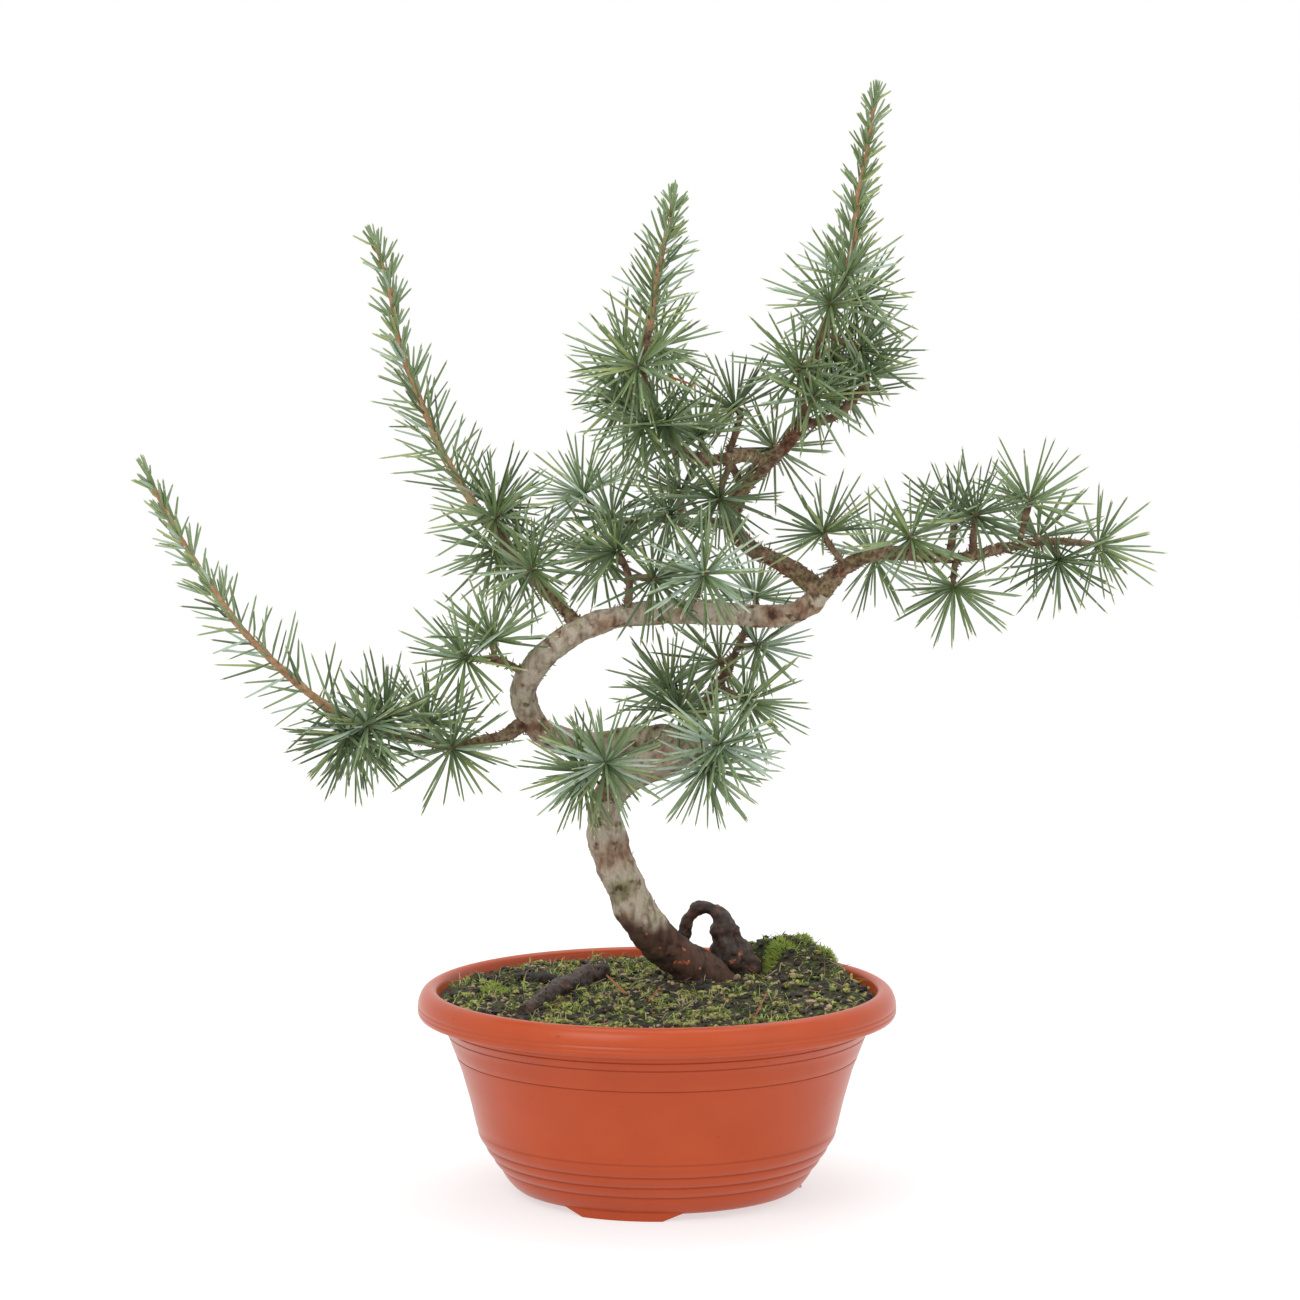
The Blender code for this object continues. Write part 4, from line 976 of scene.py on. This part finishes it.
MASSES = {
    "front_rosettes": ("trunk", ((-18, 5, 138), (-18, -8, 147), (-18, -20, 156)), 1.8, 1.2,
        ((1.0, FRONT, 2), (0.86, LEFT, 8)), None),
    "left_spur": ("trunk", ((-46, 1, 185), (-56, -8, 191), (-66, -14, 192)), 1.6, 1.2,
        ((1.0, LEFT + FRONT, 2), (0.53, UP, 7)), None),
    "low_left_rosettes": ("low_left_bough+", (
        (-68, -1, 160), (-73, -4, 160), (-86, -10, 164), (-96, -16, 167), (-109, -22, 173)), 2.0, 1.5,
        ((0.1, FRONT + 0.3 * RIGHT, 9), (0.32, UP + 0.6 * BACK, 7), (0.62, FRONT + UP, 8),
         (0.78, FRONT, 9), (0.86, DOWN + BACK, 8), (0.96, FRONT + 0.7 * DOWN, 7)), None),
    "low_left_shoot": ("low_left_rosettes+", (
        (-109, -22, 173), (-121, -27, 182), (-138, -33, 199), (-148, -37, 212)), 1.5, 1.2,
        (), (30, 21, 17)),
    "low_left_tip": ("low_left_shoot+", (
        (-148, -37, 212), (-160, -40, 232), (-169, -42, 249), (-173, -42, 257)), 1.2, 0.6,
        (), (26, 13, 9)),
    "left_rosettes": ("left_bough+", (
        (-40, 8, 214), (-52, 18, 228), (-65, 26, 243)), 2.0, 1.6,
        ((0.1, FRONT + 0.4 * UP, 11), (0.45, BACK, 10), (0.62, LEFT + BACK + 1.4 * DOWN, 6),
         (0.72, FRONT + 0.4 * UP, 9), (0.85, UP + RIGHT, 6)), None),
    "left_shoot": ("left_rosettes+", ((-65, 26, 243), (-76, 33, 260), (-85, 39, 280)), 1.6, 1.3,
        (), (30, 22, 17)),
    "left_tip": ("left_shoot+", (
        (-85, 39, 280), (-92, 42, 299), (-96, 44, 320), (-101, 44, 336)), 1.3, 0.6,
        (), (34, 14, 9)),
    "upper_left_rosettes": ("upper_left_bough+", (
        (1, -12, 273), (-2, -14, 284), (-5, -15, 294), (-2, -14, 307)), 1.9, 1.4,
        ((0.05, FRONT + 0.5 * RIGHT, 8), (0.02, LEFT + FRONT + 0.3 * DOWN, 8), (0.3, BACK + LEFT, 10),
         (0.55, FRONT, 11), (0.7, LEFT, 6), (0.85, BACK + RIGHT, 8)), (8, 20, 18)),
    "upper_left_shoot": ("upper_left_rosettes+", (
        (-2, -14, 307), (0, -12, 321), (3, -10, 336)), 1.4, 1.0, (), (32, 19, 12)),
    "upper_left_tip": ("upper_left_shoot+", ((3, -10, 336), (5, -9, 343), (6, -8, 350)), 1.0, 0.6,
        (), (14, 10, 8)),
    "upper_left_spur": one_rosette("upper_left_bough", (
        (17, -3, 262), (16, 1, 267)), UP + 0.4 * LEFT, 3, 1.3, 1.2),
    "drooping_spur": one_rosette("upper_left_bough", (
        (26, 4, 262), (24, 0, 254), (22, -2, 249)), DOWN + FRONT, 2, 1.4, 1.1),
    "leader_rosettes": ("leader+", (
        (52, 16, 276), (54, 15, 287), (57, 14, 300), (63, 12, 315), (66, 12, 323)), 2.2, 1.5,
        ((0.06, FRONT, 11), (0.38, LEFT + FRONT, 10), (0.48, BACK + 0.6 * RIGHT, 11),
         (0.6, RIGHT + 0.4 * DOWN, 14), (0.8, FRONT + 0.3 * LEFT, 9), (0.83, BACK + RIGHT, 11),
         (0.97, FRONT + UP, 5)), (8, 20, 18)),
    "leader_shoot": ("leader_rosettes+", (
        (66, 12, 323), (69, 10, 338), (70, 9, 351)), 1.4, 1.1, (), (22, 15, 10)),
    "leader_tip": ("leader_shoot+", ((70, 9, 351), (73, 8, 366), (76, 8, 386)), 1.1, 0.5,
        (), (26, 10, 8)),
    "leader_back_spur": one_rosette("leader", ((42, 18, 262), (43, 30, 264)), BACK, 3, 1.5, 1.2),
    "leader_left_spur": one_rosette("leader", (
        (31, 20, 250), (26, 20, 260), (28, 15, 270), (30, 12, 277)), UP + LEFT, 3, 1.5, 1.2),
    "leader_right_spur": ("leader", (
        (51, 16, 272), (60, 17, 275), (66, 17, 277), (72, 18, 284), (75, 18, 288)), 1.7, 1.4,
        ((1.0, UP, 2), (0.6, BACK + UP, 7)), None),
    "inner_left_rosettes": ("inner_left_bough+", (
        (-12, 31, 236), (-18, 32, 240), (-24, 32, 246)), 1.5, 1.2,
        ((1.0, LEFT + UP, 2), (0.1, FRONT + 0.5 * UP, 9)), None),
    "inner_left_low_spur": one_rosette("inner_left_bough", (
        (-8, 30.5, 237), (-15, 27, 230), (-19, 25, 227)), LEFT + DOWN, 2, 1.3, 1.1),
    "inner_middle_spur": one_rosette("inner_left_bough", (
        (4, 28, 238), (4, 21, 241)), FRONT, 3, 1.3, 1.2),
    "inner_back_spur": one_rosette("inner_left_bough", (
        (8, 27.5, 238), (9, 34, 246)), UP + BACK, 3, 1.3, 1.2),
    "centre_twig": ("trunk", ((-11, 0, 205), (-10, -3, 214), (-10, -6, 222), (-13, -8, 228)), 1.6, 1.2,
        ((1.0, UP + LEFT, 2), (0.55, RIGHT + FRONT, 12)), None),
    "centre_star": one_rosette("trunk", (
        (10, 5, 206), (15, -9, 217), (17, -17, 222)), FRONT, 3, 1.6, 1.2),
    "right_first": one_rosette("right_bough", (
        (67, 0, 223), (62, -5, 229), (59, -7, 234)), UP + 0.3 * LEFT, 2),
    "right_behind": one_rosette("right_bough", ((77, -5, 228.5), (77, 8, 226)), BACK, 4),
    "right_second": one_rosette("right_bough", ((90, -8, 228), (89, -13, 233)), UP + FRONT, 3),
    "right_third": one_rosette("right_bough", (
        (103, -7, 227), (104, -1, 234), (105, 3, 238)), UP + BACK, 2),
    "right_fourth": one_rosette("right_bough", (
        (111, -5, 228), (111, -10, 237), (111, -13, 241)), UP + FRONT, 2),
    "right_hanging": one_rosette("right_bough", (
        (105, -6, 227), (104, -10, 220)), DOWN + 0.4 * FRONT, 3),
    "right_end": ("right_bough+", ((121, -2, 230), (137, 2, 232), (153, 5, 231)), 1.7, 1.2,
        ((0.2, UP + 0.4 * FRONT, 16), (0.45, BACK + 0.3 * UP, 11), (0.62, FRONT + DOWN, 8),
         (1.0, RIGHT, 3)), None),
    "lower_right_first": one_rosette("lower_right_bough", (
        (13, 18, 166), (10, 12, 171), (8, 5, 171)), FRONT + UP, 1, 1.4, 1.1),
    "lower_right_second": one_rosette("lower_right_bough", (
        (18, 25, 172), (9, 20, 176), (5, 16, 178)), LEFT + UP, 1, 1.4, 1.1),
    "lower_right_third": one_rosette("lower_right_bough", (
        (22, 28, 178), (28, 20, 175), (31, 16, 174)), RIGHT + FRONT, 1, 1.4, 1.1),
    "lower_right_tip": ("lower_right_bough+", ((26, 31, 184), (31, 36, 195), (36, 38, 206)), 1.7, 1.3,
        ((1.0, UP, 3), (0.35, FRONT + RIGHT, 9), (0.05, BACK + LEFT, 7)), None),
    "low_right_twig": ("trunk", ((12, 1, 156), (16, -13, 157), (22, -21, 162)), 1.6, 1.2,
        ((1.0, FRONT + 0.4 * UP, 3), (0.5, DOWN + FRONT, 5)), None),
}
NEEDLE_LENGTH = 24.0
NEEDLE_LENGTHS = (0.78, 1.12)
NEEDLE_BEND = 0.9
NEEDLE_ROOT = 0.8
NEEDLE_STRAY = 0.08
TURN_STRAY = 0.3
ROSETTE_SPREAD = math.radians(106)
ROSETTE_CROWDING = 0.55
FAVOURITE_SHARE = 0.6
SHOOT_LEAN = math.radians(48)
GOLDEN_ANGLE = math.radians(137.5)
CORE_RADIUS = 2.0
SPUR_RADIUS = 0.9
SPUR_CLEAR = 3.0
SPUR_TRIES = 8
SPUR_LEAN = 0.25
SPUR_PATIENCE = 3
SPUR_BARE = 0.4
CORE_HALF = 0.1
ROSETTE_NEEDLES = 48
FULLER = 22
UNEVEN = (-8, 4)
PALE_MASSES = ("front_rosettes", "centre_star", "low_right_twig")
NEEDLE_WIDTH = 0.66
NEEDLE_SHARES = ((0.0, 0.55), (0.35, 1.0), (0.93, 0.6))
NEEDLE_FLAT = 0.6
LONG_NEEDLES = 16.0
SINGLES = 2.1
BUNCHED = 3.6
BUNCH = 7
BUNCH_STEP = 0.22
FIRST_NEEDLE = 0.6
BUNCH_SPREAD = 0.9
LEAN_AT_FOOT = 1.25
LEAN_LOST = 0.3
SINGLE_LEANS = (0.7, 1.35)
BUNCH_LEANS = (0.35, 1.15)
SHOOT_LENGTHS = (0.8, 1.2)
SHOOT_BEND = 0.8
SHOOT_WIDTH = 0.95
TIP_NEEDLES = 7
TIP_STRAY = 0.28
TIP_LENGTH = 0.85
TIP_WIDTH = 0.8
TIP_BEND = 0.2
ODD_BEND = 0.6
GLAUCOUS, MID, SHADED, YOUNG, POINT, MID_IN_PAINTED_SHADE, DEAD = range(7)
MIXED_TONES = (GLAUCOUS, MID, MID, SHADED, YOUNG)
TIP_TONES = (GLAUCOUS, MID, YOUNG, YOUNG)
PALE_TONES = (GLAUCOUS, GLAUCOUS, MID)
USUAL_TONES = (GLAUCOUS, MID, MID, MID, SHADED)
# The darker tone that one side of each needle takes, as painted shade.
PAINTED_SHADE_TONES = {GLAUCOUS: MID, MID: MID_IN_PAINTED_SHADE, SHADED: SHADED, YOUNG: MID}
CAD_STEM_STEP = 9.0
JOINT = 1.5
TWIG_STEP = 1.2
TWIG_SIDES = 10
TWIG_RELIEF = (0.2, 0.36)
YOUNG_RELIEF = (0.2, 0.14)
SPUR_STEP = 0.8
SPUR_SIDES = 8
SPUR_RADII = (1.0, 1.4)
SPUR_RELIEF = (0.3, 0.34)
BUD = 1.7
BUD_LIFT = 0.9
ODD_NEEDLES = (
    ((-5, -16, 292), (-11.5, -27, 280), DEAD), ((-1, -15, 292), (13.4, -26, 288), DEAD),
    ((-19, -20, 154), (-29, -26, 141), DEAD), ((-18, -21, 156), (-10, -32, 146), YOUNG),
)


def straying(chance, amount):
    """A small step in any direction."""
    return amount * Vector([chance.uniform(-1, 1) for _ in range(3)])


def clearance(a, b, radius, own):
    """The least gap between the rod from a to b and every rod of the other limbs."""
    others = [rod for name, some in rods.items() if name != own for rod in some]
    return least_gap(a, b, others) - radius


def spur_plan(name, path, rosettes, chance):
    """Each rosette's spur: where it leaves the stem, its middle, and the way it faces. A spur
    that would touch another limb tries a few other ways, and is left out if all of them do."""
    plan = []
    walked = distances(path)
    for place, side, stalk in rosettes:
        mark = min(walked[-1], max(SPUR_CLEAR, place * walked[-1]))
        root = Vector([float(np.interp(mark, walked, path[:, axis])) for axis in range(3)])
        for attempt in range(SPUR_TRIES):
            lean = SPUR_LEAN * (1 + attempt / SPUR_PATIENCE)
            way = (side.normalized() + straying(chance, lean)).normalized()
            middle = root + stalk * way
            outer = root.lerp(middle, SPUR_BARE)
            core = middle - CORE_HALF * way, middle + CORE_HALF * way
            spur_room = clearance(outer, middle, SPUR_RADIUS, name)
            if min(spur_room, clearance(*core, CORE_RADIUS, name)) > GAP:
                plan.append((root, middle, way))
                rods[name].append((*root, *middle, SPUR_RADIUS))
                rods[name].append((*core[0], *core[1], CORE_RADIUS))
                break
    return plan


def draw_needle(skin, root, tip, width, bend, tone):
    """One needle: a flattened four-sided blade, a little arched, with a paler point. The faces
    on one side take a darker tone, painted shade.
    """
    along = tip - root
    u = along.orthogonal().normalized()
    v = along.normalized().cross(u)
    points = []
    for share, thick in NEEDLE_SHARES:
        at = root + share * along + bend * 4 * share * (1 - share) * u
        for side in (u, NEEDLE_FLAT * v, -u, -NEEDLE_FLAT * v):
            points.append(tuple(at + width * thick * side))
    points.append(tuple(tip))
    start = len(skin.faces)
    skin.add(points, tube_faces(3, 4, pointed=True), tone)
    # Painted shade: the faces on one side take a darker tone, and the point its paler tone.
    if tone in PAINTED_SHADE_TONES:
        for face in (3, 4, 7, 8):
            skin.indices[start + face] = PAINTED_SHADE_TONES[tone]
        skin.indices[start + 9:] = [POINT] * 4


def draw_rosette(skin, middle, way, number, favourites, chance):
    """A full rosette about one bud, spread as the solid's own."""
    side = way.orthogonal().normalized()
    across = way.cross(side)
    favourite = chance.choice(favourites)
    for k in range(number):
        lean = ROSETTE_SPREAD * ((k + 0.5) / number) ** ROSETTE_CROWDING
        turn = k * GOLDEN_ANGLE + chance.uniform(-TURN_STRAY, TURN_STRAY)
        out = between(way, between(side, across, turn), lean)
        out = (out + straying(chance, NEEDLE_STRAY)).normalized()
        tip = middle + NEEDLE_LENGTH * chance.uniform(*NEEDLE_LENGTHS) * out
        tone = favourite if chance.random() < FAVOURITE_SHARE else chance.choice(MIXED_TONES)
        bend = chance.uniform(-NEEDLE_BEND, NEEDLE_BEND)
        draw_needle(skin, middle + NEEDLE_ROOT * out, tip, NEEDLE_WIDTH, bend, tone)


def draw_shoot(skin, path, number, longest, shortest, chance):
    """Needles along a young shoot, leaning towards its tip: long ones stand singly round it,
    short ones in small bunches that alternate about it."""
    pairs = frames_along(path)
    tangents = np.gradient(path, axis=0)
    single = longest >= LONG_NEEDLES
    count = round(number * (SINGLES if single else BUNCHED))
    for k in range(count):
        bunch, member = divmod(k, BUNCH)
        walked = k if single else bunch * BUNCH + BUNCH_STEP * member
        place = (walked + FIRST_NEEDLE) / count * (len(path) - 1)
        low = min(int(place), len(path) - 2)
        root = Vector(path[low]).lerp(Vector(path[low + 1]), place - low)
        along = Vector(tangents[low]).normalized()
        turn = k * GOLDEN_ANGLE + chance.uniform(-TURN_STRAY, TURN_STRAY)
        lean = SHOOT_LEAN * (LEAN_AT_FOOT - LEAN_LOST * k / count) * chance.uniform(*SINGLE_LEANS)
        if not single:
            turn = bunch * GOLDEN_ANGLE + chance.uniform(-BUNCH_SPREAD, BUNCH_SPREAD)
            lean = SHOOT_LEAN * chance.uniform(*BUNCH_LEANS)
        length = (longest + (shortest - longest) * k / count) * chance.uniform(*SHOOT_LENGTHS)
        way = between(along, between(*pairs[low], turn), lean)
        tone = chance.choice(MIXED_TONES if single else TIP_TONES)
        bend = chance.uniform(-SHOOT_BEND, SHOOT_BEND)
        draw_needle(skin, root, root + length * way, NEEDLE_WIDTH * SHOOT_WIDTH, bend, tone)
    end, along = Vector(path[-1]), Vector(tangents[-1]).normalized()
    for _ in range(TIP_NEEDLES):
        way = (along + straying(chance, TIP_STRAY)).normalized()
        tip = end + TIP_LENGTH * shortest * way
        draw_needle(skin, end - along, tip, NEEDLE_WIDTH * TIP_WIDTH, TIP_BEND, YOUNG)


tones = [two_tone(name, low, high, 260, roughness) for name, low, high, roughness in (
    ("needles, glaucous", (0.30, 0.40, 0.29), (0.43, 0.53, 0.42), 0.5),
    ("needles, mid", (0.165, 0.24, 0.11), (0.24, 0.32, 0.165), 0.5),
    ("needles, dark", (0.06, 0.10, 0.035), (0.10, 0.15, 0.06), 0.5),
    ("needles, young", (0.24, 0.30, 0.10), (0.35, 0.40, 0.16), 0.5),
    ("needle points", (0.35, 0.36, 0.19), (0.47, 0.46, 0.26), 0.5),
    # A darker copy of the mid tone, painted shade on one side of the mid needles.
    ("needles, mid, painted shade", (0.11, 0.17, 0.05), (0.165, 0.23, 0.085), 0.5),
    ("needles, dead", (0.40, 0.11, 0.045), (0.50, 0.18, 0.08), 0.6),
)]
twig_bark = surface("twig bark", (
    (0.3, (0.06, 0.035, 0.02)), (0.5, (0.17, 0.10, 0.055)), (0.7, (0.27, 0.19, 0.12)),
), 330, 0.85, 0.0005)
shoot_bark = two_tone("shoot bark", (0.27, 0.13, 0.06), (0.43, 0.26, 0.14), 500, 0.75, 0.0003)

needles, twigs = Skin(), Skin()
planned = {}
for name, (carrier, points, start, end, rosettes, _) in MASSES.items():
    chance = random.Random(f"{SEED} {name}")
    path = limb_path(points, carrier, start, CAD_STEM_STEP)
    note_limb(name, path, np.linspace(start, end, len(path)))
    planned[name] = (path, spur_plan(name, path, rosettes, chance), chance)
for name, (path, plan, chance) in planned.items():
    carrier, points, start, end, rosettes, shoot = MASSES[name]
    root = Vector(points[0])
    if carrier.endswith("+"):
        root = Vector(path[0]) - JOINT * Vector(path[1] - path[0]).normalized()
    fine = smooth_path([root, *path], TWIG_STEP)
    radii = np.linspace(start, end, len(fine))
    young = bool(shoot) and not rosettes
    relief = YOUNG_RELIEF if young else TWIG_RELIEF
    bark_tube(twigs, fine, radii, TWIG_SIDES, relief, int(young))
    bits = random.Random(f"{SEED} bits {name}")
    if not young:
        add_flakes(twigs, fine, radii, FLAKES_A_MM * TWIG_STEP * len(fine), bits)
    for root, middle, way in plan:
        spur = smooth_path([root, root.lerp(middle, 0.5), middle], SPUR_STEP)
        pebble(twigs, middle + BUD_LIFT * way, BUD, bits, 0)
        bark_tube(twigs, spur, np.linspace(*SPUR_RADII, len(spur)), SPUR_SIDES, SPUR_RELIEF)
        pale = name in PALE_MASSES
        number = ROSETTE_NEEDLES + (FULLER if pale else chance.randint(*UNEVEN))
        draw_rosette(needles, middle, way, number, PALE_TONES if pale else USUAL_TONES, chance)
    if shoot:
        draw_shoot(needles, path, *shoot, chance)
for root, tip, tone in ODD_NEEDLES:
    draw_needle(needles, Vector(root), Vector(tip), NEEDLE_WIDTH, ODD_BEND, tone)
needles.finish("needles", tones, list(MASSES), "needles", smooth=False)
twigs.finish("twigs", [twig_bark, shoot_bark], list(MASSES), "needles")


# The studio: a pale floor that runs out of sight and glows a little, so that the shadow stays
# light, three soft lamps, and a long lens well above the rim. All of it is in metres.
FLOOR_SIZE = 400
FLOOR_GREYS = ((0.40, 0.40, 0.40), (0.41, 0.41, 0.41))
FLOOR_GLOW = 0.6
LAMPS = (
    ("key", (-0.7, -1.1, 1.3), 0.9, 9),
    ("fill", (1.1, -0.8, 0.8), 1.0, 2),
    ("top", (0.1, 0.5, 1.5), 1.2, 9),
)
LAMPS_AIM = Vector((0, 0, 0.15))
CAMERA_AT = (-0.0025, -1.430, 0.334)
CAMERA_DOWN = 5.6
CAMERA_LENS = 112.35
CAMERA_SENSOR = 36

bpy.ops.mesh.primitive_plane_add(size=FLOOR_SIZE, location=(0, 0, 0))
floor = bpy.context.object
floor.name = "floor"
paper = two_tone("floor", *FLOOR_GREYS, 3, 1.0)
paper_inputs = paper.node_tree.nodes["Principled BSDF"].inputs
paper_inputs["Specular IOR Level"].default_value = 0
paper_inputs["Emission Color"].default_value = (1, 1, 1, 1)
paper_inputs["Emission Strength"].default_value = FLOOR_GLOW
floor.data.materials.append(paper)

for name, at, size, watts in LAMPS:
    lamp = bpy.data.lights.new(name, "AREA")
    lamp.shape = "SQUARE"
    lamp.size = size
    lamp.energy = watts
    obj = bpy.data.objects.new(name, lamp)
    obj.location = at
    obj.rotation_euler = (LAMPS_AIM - Vector(at)).to_track_quat("-Z", "Y").to_euler()
    bpy.context.collection.objects.link(obj)

world = bpy.data.worlds.new("studio")
world.use_nodes = True
world.node_tree.nodes["Background"].inputs["Color"].default_value = (1, 1, 1, 1)
world.node_tree.nodes["Background"].inputs["Strength"].default_value = 1.0
bpy.context.scene.world = world
bpy.context.scene.view_settings.view_transform = "Standard"

camera = bpy.data.cameras.new("camera")
camera.lens = CAMERA_LENS
camera.sensor_width = CAMERA_SENSOR
camera.sensor_fit = "HORIZONTAL"
viewer = bpy.data.objects.new("camera", camera)
viewer.location = CAMERA_AT
viewer.rotation_euler = (math.radians(90 - CAMERA_DOWN), 0, 0)
bpy.context.collection.objects.link(viewer)
bpy.context.scene.camera = viewer
